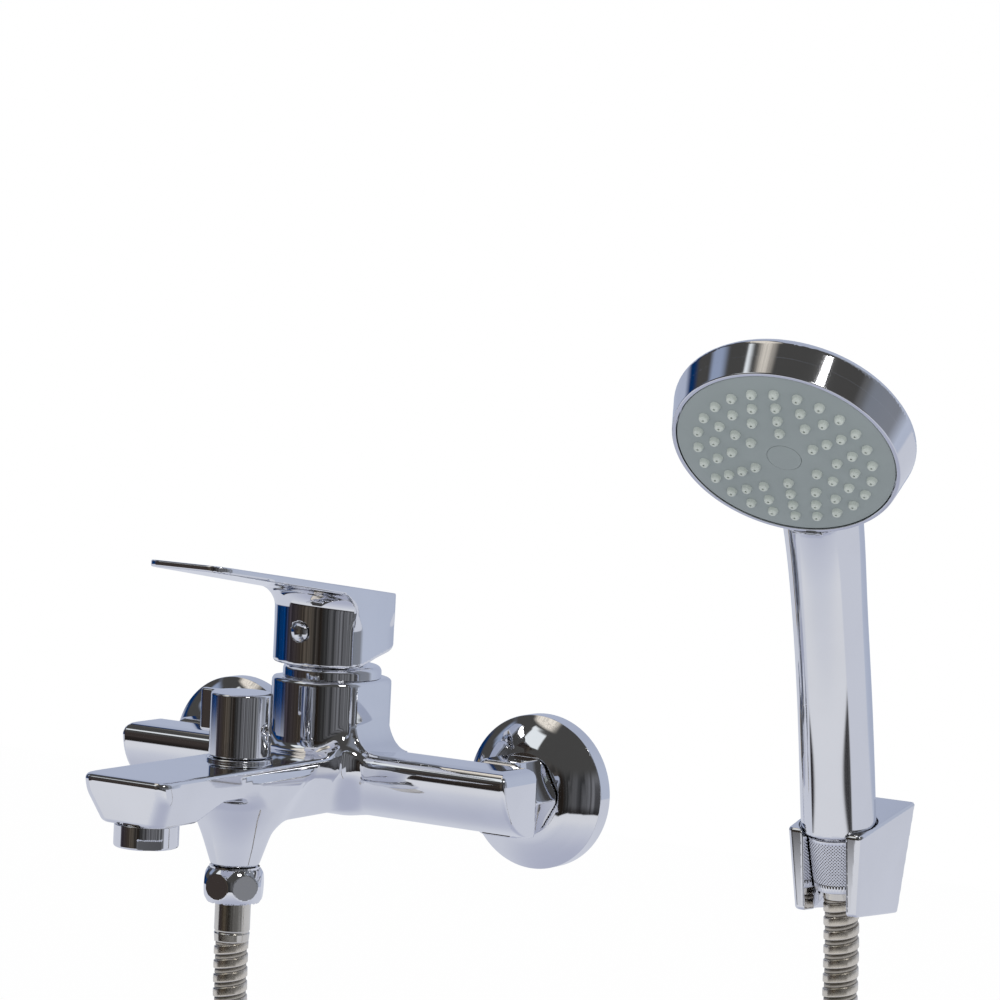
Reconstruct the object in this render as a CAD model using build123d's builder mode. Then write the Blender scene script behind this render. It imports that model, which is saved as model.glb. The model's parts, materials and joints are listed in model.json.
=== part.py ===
"""Wall-mounted bath mixer with its hand shower, hose and wall bracket.

The origin is midway between the two inlets on the finished wall. X runs along the wall, the user
stands on the -Y side and +Z is up. All sizes are in millimetres.
"""

from build123d import *
from math import atan, ceil, cos, degrees, pi, radians, sin, sqrt, tan
import os

# Wall connections
inlet_spacing = 150.0
wall_thread_r = 10.48
wall_thread_length = 15.0
eccentric_offset = 8.0
eccentric_depth = 9.0
eccentric_wall_r = 12.0
swivel_thread_r = 13.0
swivel_thread_end = 21.0
union_bore_r = 7.0
thread_gap = 0.05
escutcheon_r = 31.04
escutcheon_rim = 7.0
escutcheon_depth = 16.0
escutcheon_wall = 1.2
escutcheon_hub_r = 16.5
union_nut_flats = 30.0
union_nut_gap = 1.0
washer_thickness = 2.0
tail_flange_thickness = 2.5
tail_r = 11.0
tail_thread_r = 10.0
tail_thread_length = 6.0
tail_bore_r = 7.5

# Arms of the mixer body
arm_overhang = 19.0
arm_half_length = inlet_spacing / 2 + arm_overhang
arm_back = 35.5
arm_front = 60.4
arm_top = 14.4
arm_bottom = -13.3
arm_edge_r = 5.0
arm_keel_width = 3.5
arm_hull_bulge = 5.6
arm_end_r = 2.5
gallery_r = 5.5
gallery_z = -3.0
gallery_y = 47.0

# Cartridge housing
axis_out = 45.0
housing_r = 24.2
housing_flat = 20.5
housing_top = 42.0
housing_edge_r = 2.5
flare_r = 12.0
chamber_r = 18.2
chamber_floor = 8.0
port_r = 3.5
port_spread = 8.0
mixed_port_out = 9.0

# Cartridge
cartridge_r = 17.5
cartridge_height = 18.0
cartridge_wall = 2.5
neck_r = 11.5
neck_top = 44.0
neck_wall = 1.0
disc_thickness = 3.0
disc_r = 14.6
moving_disc_r = 9.0
carrier_r = 6.5
pivot_z = 40.0
stem_width = 8.0
stem_depth = 7.0
stem_top = 66.0
stem_ball_r = 3.0
ball_drop = 10.0
pivot_pin_r = 1.5
guide_thickness = 14.0
retaining_height = 9.0
retaining_flats = 28.0
collar_r = 19.85
collar_top = 47.0
collar_skirt = 4.5
dome_r = 14.0
dome_rise = 3.0
dome_hole_r = 9.5

# Lever
lever_bottom = 47.5
lever_rear_top = 76.8
lever_rear_reach = 34.8
lever_rise = 0.139
lever_reach = 147.0
lever_tip_half = 18.5
lever_root_thickness = 4.4
lever_tip_thickness = 2.6
lever_corner_r = 7.0
lever_fillet_r = 7.0
lever_flat_reach = 13.0
lever_mid_lift = 2.8
lever_rear_lift = 11.5
cavity_height = 9.5
cap_z = 61.2
cap_r = 4.0
cap_depth = 2.5
cap_crown = 1.3
lever_screw_r = 2.4

# Spout
spout_half = 20.0
spout_reach = 180.8
spout_top = 13.3
spout_bottom = -5.2
spout_edge_r = 5.0
spout_side_foot = 14.0
spout_side_z = 6.0
spout_front_slope = 7.0
spout_heel = 24.0
spout_belly = 2.0
spout_corner_r = 7.0
neck_foot = -11.0
neck_half = 12.0
waterway_r = 3.4
aerator_feed_r = 5.0

# Aerator
aerator_setback = 18.5
aerator_reach = spout_reach - aerator_setback
aerator_r = 12.35
aerator_height = 9.0
aerator_thread_r = 11.6
aerator_thread_length = 6.5
aerator_bore_r = 9.6
aerator_insert_height = 7.0
aerator_cell = 2.4
aerator_web = 0.8

# Diverter
outlet_reach = 105.5
diverter_chamber_r = 9.5
diverter_floor = -9.0
bush_flange_r = 13.0
bush_flange_height = 1.3
spindle_r = 3.5
rotor_height = 8.0
knob_r = 12.1
knob_gap = 0.4
knob_top = 40.0
knob_wall = 2.0
knob_roof = 5.0
knob_tab_reach = 19.2
knob_tab_width = 3.4
knob_tab_height = 17.0
knob_screw_z = 26.3
knob_screw_r = 1.9
knob_plug_r = 2.15
knob_plug_depth = 1.2

# Shower outlet and hose fittings
cone_bottom = -28.0
cone_foot_r = 9.3
cone_waist_r = 14.2
cone_waist_z = -13.5
cone_top_r = 19.9
cone_top_z = -2.0
hose_thread_r = 9.9
nipple_length = 8.0
nipple_shank_r = 7.0
nipple_shank = 10.0
nipple_bore_r = 5.0
hose_nut_flats = 22.4
hose_nut_turned_r = 11.7
hose_nut_gap = 0.3
hose_nut_height = 14.3
ferrule_r = 7.0
ferrule_flange_r = 9.2
ferrule_flange = 2.0
ferrule_length = 19.7
ferrule_bore_r = 4.0

# Hose
hose_d = 13.5
hose_bore_r = 4.0
rib_pitch = 5.5
rib_depth = 0.75
mixer_rib_count = 8
handset_rib_count = 13
handset_exit_run = 20.0
coil_mean_r = 67.5
coil_turns = 2.5
coil_pitch = 14.6
coil_x = 111.0
coil_z = -232.0
coil_front_y = -78.0
tie_width = 8.0
tie_thickness = 1.2
tie_gap = 0.3

# Handset, in its own frame: z up the handle, -y towards the sprayed side
seat_x = 222.5
seat_out = 28.4
seat_z = 5.8
seat_tilt = 10.5
handset_turn = 9.0
handle_foot_r = 14.1
handle_stations = ((0.0, 0.0, handle_foot_r), (50.0, 0.0, 13.9), (90.0, 2.6, 14.0),
                   (118.0, 6.2, 14.7), (142.0, 15.0, 15.0), (160.0, 27.5, 14.0),
                   (175.0, 41.0, 12.0), (186.0, 52.0, 9.0))
handle_wall = 3.0
handle_plug = 12.0
handle_bore_r = 10.0
head_forward = 48.3
head_height = 151.2
head_tilt = 35.45
head_front_r = 41.6
head_front_w = -3.6
head_back_r = 44.6
head_wide_w = -17.0
head_edge_r = 42.8
head_edge_w = -21.0
head_back_w = -30.5
head_round_r = 3.0
head_cavity_r = 38.6
head_wall = 2.4
shell_front_w = -8.0
ring_inner_r = 40.2
ring_seat_r = 36.2
ring_seat_thickness = 1.0
ring_skirt = 4.0
ring_skirt_wall = 1.2
plate_r = 40.0
plate_w = -4.0
plate_dome = 2.0
plate_back_w = -6.9
nozzle_rings = ((24, 31.9), (18, 25.6), (12, 19.3), (6, 13.05))
nozzle_turn = 24.2
nozzle_r = 1.55
nozzle_height = 2.0
nozzle_taper = 4.5
nozzle_side_count = 8
mat_thickness = 1.6
mat_r = 35.8
center_cap_r = 6.2
center_cap_height = 0.5
face_screw_r = 1.8
face_screw_head_r = 3.2
face_screw_head = 2.0
face_screw_length = 17.0
guide_floor_w = -13.0
guide_floor = 1.6
guide_r = 37.0
guide_wall = 1.5
guide_post_r = 4.0
guide_port_count = 6
guide_port_r = 3.0
guide_port_ring = 22.0
handset_spigot = 8.0
cone_nut_top_r = 12.2
cone_nut_bottom_r = 9.9
cone_nut_length = 21.5
cone_nut_gap = 1.0
handset_ferrule_end = 26.4

# Wall bracket
bracket_top_back_half = 17.4
bracket_top_front_half = 15.5
bracket_bottom_back_half = 12.4
bracket_bottom_front_half = 13.2
bracket_top_back_z = 15.3
bracket_top_front_z = 5.9
bracket_top_depth = 40.7
bracket_bottom_back_z = -28.0
bracket_bottom_front_z = -25.2
bracket_bottom_depth = 36.4
bracket_edge_r = 2.5
bracket_slot = 17.4
seat_gap = 0.3
seat_recess_r = 14.7
bracket_hole_r = 2.5
bracket_hole_spacing = 20.0
bracket_hole_z = -9.0
bracket_pocket_half = 8.0
bracket_pocket_depth = 9.0
bracket_boss_r = 4.5
bracket_counterbore_r = 4.2
bracket_screw_wall = 10.5

swivel_washer_end = swivel_thread_end + washer_thickness
tail_flange_end = swivel_washer_end + tail_flange_thickness
sides = {"left": -1, "right": 1}
os.makedirs("parts", exist_ok=True)


def save(piece, label):
    """Label a finished piece and write its STEP file."""
    piece.part.label = label
    export_step(piece.part, f"parts/{label}.step")


def outline(plane, *points):
    """A closed sketch through the points; a third value rounds that corner."""
    with BuildSketch(plane) as drawing:
        with BuildLine():
            Polyline(*[point[:2] for point in points], close=True)
        make_face()
        for point in points:
            if len(point) > 2:
                fillet(drawing.vertices().sort_by_distance(Vector(*point[:2]))[0], point[2])
    return drawing.sketch


def side_of(frame):
    """The plane through the frame's z axis on which (radius, height) outlines are drawn."""
    return Plane(frame.origin, x_dir=frame.x_dir, z_dir=-frame.y_dir)


def turn(frame, *points, mode=Mode.ADD):
    """Turn an outline of (radius, height) points about the frame's z axis."""
    revolve(outline(side_of(frame), *points), axis=Axis(frame.origin, frame.z_dir), mode=mode)


def bore(frame, radius, low, high):
    """Drill a round hole along the frame's z axis."""
    turn(frame, (0, low), (radius, low), (radius, high), (0, high), mode=Mode.SUBTRACT)


def within(frame, plane):
    """A plane given in the frame's own coordinates."""
    return Plane(frame.location * plane.location)


def ring_outline(inner, outer, low, high):
    """The four corners of a plain ring."""
    return (inner, low), (outer, low), (outer, high), (inner, high)


# Frames of the main axes: z runs out of the wall at the inlets and up everywhere else
inlet = {name: Plane((side * inlet_spacing / 2, 0, 0), x_dir=(1, 0, 0), z_dir=(0, -1, 0))
         for name, side in sides.items()}
tower = Plane((0, -axis_out, 0), x_dir=(1, 0, 0), z_dir=(0, 0, 1))
outlet = Plane((0, -outlet_reach, 0), x_dir=(1, 0, 0), z_dir=(0, 0, 1))
spout_end = Plane((0, -aerator_reach, 0), x_dir=(1, 0, 0), z_dir=(0, 0, 1))
seat_origin = Vector(seat_x, -seat_out, seat_z)
seat_axis = Vector(0, -sin(radians(seat_tilt)), cos(radians(seat_tilt)))
seat = Plane(seat_origin, x_dir=(1, 0, 0), z_dir=seat_axis)
handset = within(seat, Plane.XY.rotated((0, 0, handset_turn)))
head_local = Plane((0, -head_forward, head_height), x_dir=(1, 0, 0),
                   z_dir=(0, -cos(radians(head_tilt)), -sin(radians(head_tilt))))
head = within(handset, head_local)


# Mixer body
arm_outline_y = -(arm_front - arm_edge_r)
keel_y = -(arm_back + arm_keel_width)
hull_top = Vector(-arm_front, arm_top - arm_edge_r)
hull_foot = Vector(keel_y, arm_bottom)
hull_middle = (hull_top + hull_foot) / 2
hull_normal = Vector(hull_foot.Y - hull_top.Y, -(hull_foot.X - hull_top.X)).normalized()
hull_point = hull_middle + hull_normal * arm_hull_bulge

with BuildPart() as mixer_body:
    # Arms with a flat back and a hull-shaped front
    with BuildSketch(Plane.YZ.offset(-arm_half_length)):
        with BuildLine():
            top_line = Line((-arm_back, arm_top), (arm_outline_y, arm_top))
            edge_arc = TangentArc(top_line @ 1, (hull_top.X, hull_top.Y), tangent=(-1, 0))
            ThreePointArc(edge_arc @ 1, (hull_point.X, hull_point.Y), (hull_foot.X, hull_foot.Y))
            Line((hull_foot.X, hull_foot.Y), (-arm_back, arm_bottom))
            Line((-arm_back, arm_bottom), (-arm_back, arm_top))
        make_face()
    extrude(amount=2 * arm_half_length)
    for end in (0, -1):
        fillet(faces().sort_by(Axis.X)[end].edges(), arm_end_r)
    # Cartridge housing with flat cheeks
    with BuildSketch(Plane.XY.offset(arm_bottom + arm_edge_r)):
        with Locations((0, -axis_out)):
            Circle(housing_r)
            Rectangle(2 * housing_flat, 2 * housing_r, mode=Mode.INTERSECT)
    extrude(amount=housing_top - arm_bottom - arm_edge_r)
    fillet(faces().sort_by(Axis.Z)[-1].edges(), housing_edge_r)
    # Flares from the cheeks to the arms
    for side in sides.values():
        with BuildSketch(Plane.XZ.offset(arm_back)):
            with BuildLine():
                near, far = side * (housing_flat - 1), side * (housing_flat + flare_r)
                foot = Line((near, arm_top - 1), (far, arm_top - 1))
                lip = Line(foot @ 1, (far, arm_top))
                rise = TangentArc(lip @ 1, (side * housing_flat, arm_top + flare_r), tangent=(-side, 0))
                head_line = Line(rise @ 1, (near, arm_top + flare_r))
                Line(head_line @ 1, foot @ 0)
            make_face()
        extrude(amount=arm_front - arm_edge_r - arm_back)
    # Spout: a side profile cut by its own cross-section
    with BuildPart(mode=Mode.PRIVATE) as spout:
        extrude(outline(Plane.YZ.offset(-spout_half),
                        (-axis_out, spout_top), (-spout_reach, spout_top, spout_edge_r),
                        (-(spout_reach - spout_front_slope), spout_bottom, spout_edge_r),
                        (-(aerator_reach - aerator_r + 1), spout_bottom, spout_edge_r),
                        (-(aerator_reach - spout_heel), spout_belly, spout_edge_r),
                        (-axis_out, spout_belly)), amount=2 * spout_half)
        extrude(outline(Plane.XZ.offset(axis_out),
                        (-spout_half, spout_top), (-spout_half, spout_side_z, spout_edge_r),
                        (-spout_side_foot, spout_bottom - 1), (spout_side_foot, spout_bottom - 1),
                        (spout_half, spout_side_z, spout_edge_r), (spout_half, spout_top)),
                amount=spout_reach, mode=Mode.INTERSECT)
        extrude(outline(Plane.XY.offset(spout_bottom - 1),
                        (-spout_half, -axis_out), (-spout_half, -spout_reach, spout_corner_r),
                        (spout_half, -spout_reach, spout_corner_r), (spout_half, -axis_out)),
                amount=spout_top - spout_bottom + 2, mode=Mode.INTERSECT)
    add(spout.part)
    # Neck between the spout and the arms
    extrude(outline(Plane.XZ.offset(axis_out),
                    (-spout_half, spout_top), (-spout_half, spout_side_z, spout_edge_r),
                    (-neck_half, neck_foot, spout_edge_r), (neck_half, neck_foot, spout_edge_r),
                    (spout_half, spout_side_z, spout_edge_r), (spout_half, spout_top)),
            amount=outlet_reach - axis_out)
    # Outlet cone
    turn(outlet, (0, cone_bottom), (cone_foot_r, cone_bottom, 1.0), (cone_waist_r, cone_waist_z, 20.0),
         (cone_top_r, cone_top_z), (cone_top_r, spout_side_z), (0, spout_side_z))
    # Cartridge chamber, galleries and ports
    bore(tower, chamber_r, chamber_floor, housing_top)
    for side in sides.values():
        gallery = Plane((side * port_spread, -gallery_y, gallery_z), x_dir=(0, 1, 0), z_dir=(side, 0, 0))
        bore(gallery, gallery_r, 1 - port_r, inlet_spacing / 2 - port_spread + gallery_r)
        with BuildSketch(Plane.XY.offset(gallery_z)):
            with Locations((side * port_spread, -gallery_y)):
                Circle(port_r)
        extrude(amount=chamber_floor - gallery_z, mode=Mode.SUBTRACT)
    # Inlets behind the arms
    for frame in inlet.values():
        bore(frame, tail_thread_r, arm_back, arm_back + tail_thread_length + thread_gap)
        bore(frame, tail_bore_r, arm_back, gallery_y)
    # Mixed water: down from the chamber, along to the diverter, then to the spout end or the hose
    port_foot = spout_belly - port_r - 0.5
    with BuildSketch(Plane.XY.offset(port_foot)):
        with Locations((0, -(axis_out + mixed_port_out))):
            Circle(port_r)
    extrude(amount=chamber_floor - port_foot, mode=Mode.SUBTRACT)
    mixed = Plane((0, -(axis_out + mixed_port_out), spout_belly), x_dir=(1, 0, 0), z_dir=(0, -1, 0))
    bore(mixed, waterway_r, 0, outlet_reach - axis_out - mixed_port_out)
    to_spout = Plane((0, -outlet_reach, spout_side_z + 1), x_dir=(1, 0, 0), z_dir=(0, -1, 0))
    bore(to_spout, waterway_r, 0, aerator_reach - outlet_reach)
    bore(outlet, diverter_chamber_r, diverter_floor, spout_top)
    bore(outlet, nipple_bore_r, cone_bottom, diverter_floor)
    bore(outlet, nipple_shank_r + thread_gap, cone_bottom, cone_bottom + nipple_shank)
    aerator_seat = spout_bottom + aerator_thread_length + washer_thickness
    bore(spout_end, aerator_thread_r + thread_gap, spout_bottom - 1, aerator_seat)
    bore(spout_end, aerator_feed_r, spout_bottom, spout_side_z + 1 + waterway_r + 0.5)
save(mixer_body, "mixer_body")

# Wall connections, one set at each inlet
for name, side in sides.items():
    frame = inlet[name]
    wall_frame = Plane((side * inlet_spacing / 2, 0, eccentric_offset), x_dir=(1, 0, 0), z_dir=(0, -1, 0))
    with BuildPart() as s_union:
        turn(wall_frame, *ring_outline(0, wall_thread_r, -wall_thread_length, 0))
        with BuildSketch(wall_frame):
            Circle(eccentric_wall_r)
        with BuildSketch(frame.offset(eccentric_depth)):
            Circle(swivel_thread_r)
        loft()
        turn(frame, *ring_outline(0, swivel_thread_r, eccentric_depth, swivel_thread_end))
        bore(wall_frame, union_bore_r, -wall_thread_length, 0)
        with BuildSketch(wall_frame):
            Circle(union_bore_r)
        with BuildSketch(frame.offset(eccentric_depth)):
            Circle(union_bore_r)
        loft(mode=Mode.SUBTRACT)
        bore(frame, union_bore_r, eccentric_depth, swivel_thread_end)
    save(s_union, f"{name}_s_union")

    with BuildPart() as escutcheon:
        hub_inner = swivel_thread_r + thread_gap
        turn(frame, (escutcheon_r - escutcheon_wall, 0), (escutcheon_r, 0), (escutcheon_r, escutcheon_rim, 1.5),
             (escutcheon_hub_r + 3, escutcheon_depth - 2.5, 8), (escutcheon_hub_r, escutcheon_depth, 1),
             (hub_inner, escutcheon_depth), (hub_inner, escutcheon_depth - escutcheon_wall),
             (escutcheon_hub_r + 1.5, escutcheon_depth - 2.5 - escutcheon_wall),
             (escutcheon_r - escutcheon_wall, escutcheon_rim - escutcheon_wall))
    save(escutcheon, f"{name}_escutcheon")

    with BuildPart() as union_nut:
        nut_low = escutcheon_depth + union_nut_gap
        nut_high = arm_back - union_nut_gap
        with BuildSketch(frame.offset(nut_low)):
            RegularPolygon(union_nut_flats / 2, 6, major_radius=False)
        extrude(amount=nut_high - nut_low)
        corner_r = union_nut_flats / 2 / cos(radians(30))
        turn(frame, (0, nut_low), (corner_r - 1.2, nut_low), (corner_r, nut_low + 1.2), (corner_r, nut_high - 1.2),
             (corner_r - 1.2, nut_high), (0, nut_high), mode=Mode.INTERSECT)
        bore(frame, swivel_thread_r + thread_gap, nut_low, tail_flange_end)
        bore(frame, tail_r + thread_gap, tail_flange_end, nut_high)
    save(union_nut, f"{name}_union_nut")

    with BuildPart() as tailpiece:
        turn(frame, (tail_bore_r, swivel_washer_end), (swivel_thread_r - 0.4, swivel_washer_end),
             (swivel_thread_r - 0.4, tail_flange_end), (tail_r, tail_flange_end), (tail_r, arm_back),
             (tail_thread_r - thread_gap, arm_back), (tail_thread_r - thread_gap, arm_back + tail_thread_length),
             (tail_bore_r, arm_back + tail_thread_length))
    save(tailpiece, f"{name}_tailpiece")

with BuildPart() as inlet_filter_washers:
    for frame in inlet.values():
        turn(frame, *ring_outline(tail_bore_r, swivel_thread_r - 0.4, swivel_thread_end, swivel_washer_end))
save(inlet_filter_washers, "inlet_filter_washers")

# Cartridge
cartridge_top = chamber_floor + cartridge_height
disc_floor = chamber_floor + cartridge_wall
with BuildPart() as cartridge_shell:
    turn(tower, (0, chamber_floor), (cartridge_r, chamber_floor), (cartridge_r, cartridge_top),
         (neck_r, cartridge_top), (neck_r, neck_top), (0, neck_top))
    bore(tower, disc_r + 0.1, disc_floor, cartridge_top - cartridge_wall)
    bore(tower, neck_r - neck_wall, disc_floor, neck_top)
    with Locations(*[(side * port_spread, -gallery_y, chamber_floor) for side in sides.values()]):
        Cylinder(port_r, 3 * cartridge_wall, mode=Mode.SUBTRACT)
    with Locations((0, -(axis_out + mixed_port_out), chamber_floor)):
        Cylinder(port_r, 3 * cartridge_wall, mode=Mode.SUBTRACT)
save(cartridge_shell, "cartridge_shell")

with BuildPart() as fixed_disc:
    turn(tower, *ring_outline(0, disc_r, disc_floor, disc_floor + disc_thickness))
    with Locations(*[(side * port_spread, -gallery_y, disc_floor) for side in sides.values()]):
        Cylinder(port_r, 3 * disc_thickness, mode=Mode.SUBTRACT)
    with Locations((0, -(axis_out + mixed_port_out), disc_floor)):
        Cylinder(port_r, 3 * disc_thickness, mode=Mode.SUBTRACT)
save(fixed_disc, "fixed_disc")

moving_disc_low = disc_floor + disc_thickness + 0.05
ball_z = pivot_z - ball_drop
with BuildPart() as moving_disc:
    turn(tower, *ring_outline(0, moving_disc_r, moving_disc_low, moving_disc_low + disc_thickness))
save(moving_disc, "moving_disc")

with BuildPart() as disc_carrier:
    turn(tower, *ring_outline(stem_ball_r + 0.25, carrier_r, moving_disc_low + disc_thickness, ball_z + 1.0))
save(disc_carrier, "disc_carrier")

with BuildPart() as cartridge_guide:
    guide_high = neck_top - 0.5
    guide_base = guide_high - guide_thickness + 4
    turn(tower, *ring_outline(0, neck_r - neck_wall - 0.05, guide_base, guide_high))
    with Locations((0, -axis_out, (guide_base + guide_high) / 2)):
        Box(stem_width + 0.3, 2 * moving_disc_r - 1, guide_thickness, mode=Mode.SUBTRACT)
    with Locations(Location((0, -axis_out, pivot_z), (0, 90, 0))):
        Cylinder(pivot_pin_r + 0.05, 2 * neck_r, mode=Mode.SUBTRACT)
save(cartridge_guide, "cartridge_guide")

with BuildPart() as cartridge_stem:
    with Locations((0, -axis_out, (ball_z + stem_ball_r + stem_top) / 2)):
        Box(stem_width, stem_depth, stem_top - ball_z - stem_ball_r)
    with Locations((0, -axis_out, ball_z)):
        Cylinder(stem_ball_r - 0.8, 2 * stem_ball_r + 0.2)
        Sphere(stem_ball_r)
    with Locations(Location((0, -axis_out, pivot_z), (0, 90, 0))):
        Cylinder(pivot_pin_r, 2 * (neck_r - neck_wall) - 1.5)
save(cartridge_stem, "cartridge_stem")

with BuildPart() as retaining_nut:
    retaining_low = cartridge_top
    with BuildSketch(tower.offset(retaining_low)):
        Circle(chamber_r - thread_gap)
    extrude(amount=retaining_height / 2)
    with BuildSketch(tower.offset(retaining_low)):
        RegularPolygon(retaining_flats / 2, 6, major_radius=False)
    extrude(amount=retaining_height)
    bore(tower, neck_r + 0.1, retaining_low, retaining_low + retaining_height)
save(retaining_nut, "retaining_nut")

with BuildPart() as dome_collar:
    turn(tower, (neck_r + 0.3, housing_top - collar_skirt), (chamber_r - thread_gap, housing_top - collar_skirt),
         (chamber_r - thread_gap, housing_top), (collar_r, housing_top), (collar_r, collar_top, 1.2),
         (dome_r, collar_top), (dome_r - 1.5, collar_top + dome_rise, 1.0), (dome_hole_r, collar_top + dome_rise),
         (dome_hole_r, neck_top + 0.2), (neck_r + 0.3, neck_top + 0.2))
save(dome_collar, "dome_collar")


# Lever: a flat paddle that rises to the front, on a head that hides the collar
def paddle_top(reach):
    """Height of the paddle's top at a distance from the wall."""
    return lever_rear_top + lever_rise * (reach - lever_rear_reach)


rear_reach = axis_out - housing_r
head_front = axis_out + housing_r
with BuildPart() as lever_handle:
    with BuildSketch(Plane.XY.offset(lever_bottom)):
        with Locations((0, -axis_out)):
            Circle(housing_r)
            Rectangle(2 * housing_flat, 2 * housing_r, mode=Mode.INTERSECT)
    extrude(amount=paddle_top(lever_reach) - lever_bottom)
    extrude(outline(Plane.YZ.offset(-housing_r),
                    (-rear_reach + 1, lever_bottom - 1), (-head_front - 1, lever_bottom - 1),
                    (-head_front - 1, paddle_top(head_front + 1)), (-rear_reach + 1, paddle_top(rear_reach - 1))),
            amount=2 * housing_r, mode=Mode.INTERSECT)
    with BuildPart(mode=Mode.PRIVATE) as paddle:
        extrude(outline(Plane.YZ.offset(-housing_r),
                        (-rear_reach, paddle_top(rear_reach) - lever_root_thickness), (-rear_reach, paddle_top(rear_reach)),
                        (-lever_reach, paddle_top(lever_reach), 0.8),
                        (-lever_reach, paddle_top(lever_reach) - lever_tip_thickness, 1.2)),
                amount=2 * housing_r)
        extrude(outline(Plane.XY.offset(lever_bottom),
                        (-housing_flat, -axis_out), (-lever_tip_half, -lever_reach, lever_corner_r),
                        (lever_tip_half, -lever_reach, lever_corner_r), (housing_flat, -axis_out)),
                amount=2 * housing_r + 10, mode=Mode.INTERSECT)
    add(paddle.part)
    root_low = (lever_bottom + paddle_top(head_front)) / 2
    root = edges().filter_by(lambda edge: edge.center().Z > root_low
                             and edge.center().Z < paddle_top(head_front) - lever_root_thickness / 2
                             and -head_front - 0.5 < edge.center().Y < -axis_out - 12)
    root = root.filter_by(lambda edge: edge.geom_type != GeomType.LINE)
    fillet(root, lever_fillet_r)
    # The underside rises to the rear, which leaves room when the lever is lifted
    with BuildSketch(Plane.YZ.offset(-housing_r)):
        with BuildLine():
            under = Spline((-axis_out - lever_flat_reach, lever_bottom), (-axis_out, lever_bottom + lever_mid_lift),
                           (-rear_reach + 1, lever_bottom + lever_rear_lift), tangents=((1, 0.03), (1, 0.8)))
            Polyline(under @ 1, (-rear_reach + 1, lever_bottom - 2),
                     (-axis_out - lever_flat_reach, lever_bottom - 2), under @ 0)
        make_face()
    extrude(amount=2 * housing_r, mode=Mode.SUBTRACT)
    bore(tower, chamber_r + 0.1, lever_bottom - 1, lever_bottom + cavity_height)
    socket_height = stem_top - lever_bottom + 1
    with Locations((0, -axis_out, lever_bottom + socket_height / 2)):
        Box(stem_width + 0.1, stem_depth + 0.1, socket_height, mode=Mode.SUBTRACT)
    screw_frame = Plane((0, -axis_out, cap_z), x_dir=(1, 0, 0), z_dir=(0, -1, 0))
    bore(screw_frame, lever_screw_r + thread_gap, 0, housing_r)
    bore(screw_frame, cap_r + thread_gap, housing_r - cap_depth, housing_r + 1)
save(lever_handle, "lever_handle")

with BuildPart() as lever_screw:
    screw_low = stem_depth / 2 + 0.05
    turn(screw_frame, *ring_outline(0, lever_screw_r, screw_low, housing_r - cap_depth - 1))
save(lever_screw, "lever_screw")

with BuildPart() as lever_plug:
    turn(screw_frame, (0, housing_r - cap_depth), (cap_r, housing_r - cap_depth), (cap_r, housing_r + cap_crown, 1.2),
         (0, housing_r + cap_crown))
save(lever_plug, "lever_plug")

# Diverter
flange_top = spout_top + bush_flange_height
with BuildPart() as diverter_bush:
    turn(outlet, (spindle_r + 0.05, spout_side_z + 5), (diverter_chamber_r - thread_gap, spout_side_z + 5),
         (diverter_chamber_r - thread_gap, spout_top), (bush_flange_r, spout_top), (bush_flange_r, flange_top, 0.8),
         (spindle_r + 0.05, flange_top))
save(diverter_bush, "diverter_bush")

knob_bottom = flange_top + knob_gap
with BuildPart() as diverter_rotor:
    turn(outlet, (0, diverter_floor + 0.3), (diverter_chamber_r - 0.1, diverter_floor + 0.3),
         (diverter_chamber_r - 0.1, diverter_floor + rotor_height), (spindle_r, diverter_floor + rotor_height),
         (spindle_r, knob_top - knob_roof), (0, knob_top - knob_roof))
    bore(outlet, nipple_bore_r, diverter_floor, diverter_floor + rotor_height - 2)
    with Locations(Location((0, -outlet_reach, diverter_floor + rotor_height / 2), (90, 0, 0))):
        Cylinder(waterway_r - 1, 2 * diverter_chamber_r, mode=Mode.SUBTRACT)
save(diverter_rotor, "diverter_rotor")

with BuildPart() as diverter_knob:
    tab_low = knob_top - knob_tab_height
    with Locations((-(knob_tab_reach + knob_r) / 2 + 1, -outlet_reach, knob_top - knob_tab_height / 2)):
        Box(knob_tab_reach - knob_r + 2, knob_tab_width, knob_tab_height)
    fillet(edges().filter_by(Axis.Y).group_by(Axis.X)[0], 2.0)
    turn(outlet, (0, knob_bottom), (knob_r, knob_bottom), (knob_r, knob_top, 1.0), (0, knob_top))
    turn(outlet, *ring_outline(spindle_r + 2.5, knob_r - knob_wall, knob_bottom - 1, knob_top - knob_roof),
         mode=Mode.SUBTRACT)
    bore(outlet, spindle_r + 0.03, knob_bottom - 1, knob_top - knob_roof)
    knob_screw_frame = Plane((0, -outlet_reach, knob_screw_z), x_dir=(0, 1, 0), z_dir=(1, 0, 0))
    bore(knob_screw_frame, knob_screw_r + thread_gap, 0, knob_r)
    bore(knob_screw_frame, knob_plug_r + thread_gap, knob_r - knob_plug_depth, knob_r + 1)
save(diverter_knob, "diverter_knob")

with BuildPart() as knob_screw:
    turn(knob_screw_frame, *ring_outline(0, knob_screw_r, spindle_r + 0.03, knob_r - knob_plug_depth - 0.5))
save(knob_screw, "knob_screw")

with BuildPart() as knob_plug:
    turn(knob_screw_frame, *ring_outline(0, knob_plug_r, knob_r - knob_plug_depth, knob_r + 0.1))
save(knob_plug, "knob_plug")

# Aerator
aerator_low = spout_bottom - aerator_height
thread_high = spout_bottom + aerator_thread_length
with BuildPart() as aerator_housing:
    turn(spout_end, (aerator_bore_r, aerator_low), (aerator_r, aerator_low, 1.0), (aerator_r, spout_bottom - 0.05),
         (aerator_thread_r, spout_bottom - 0.05), (aerator_thread_r, thread_high), (aerator_bore_r, thread_high))
    turn(spout_end, *ring_outline(aerator_bore_r - 1.2, aerator_bore_r, aerator_low, aerator_low + 1))
save(aerator_housing, "aerator_housing")

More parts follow.
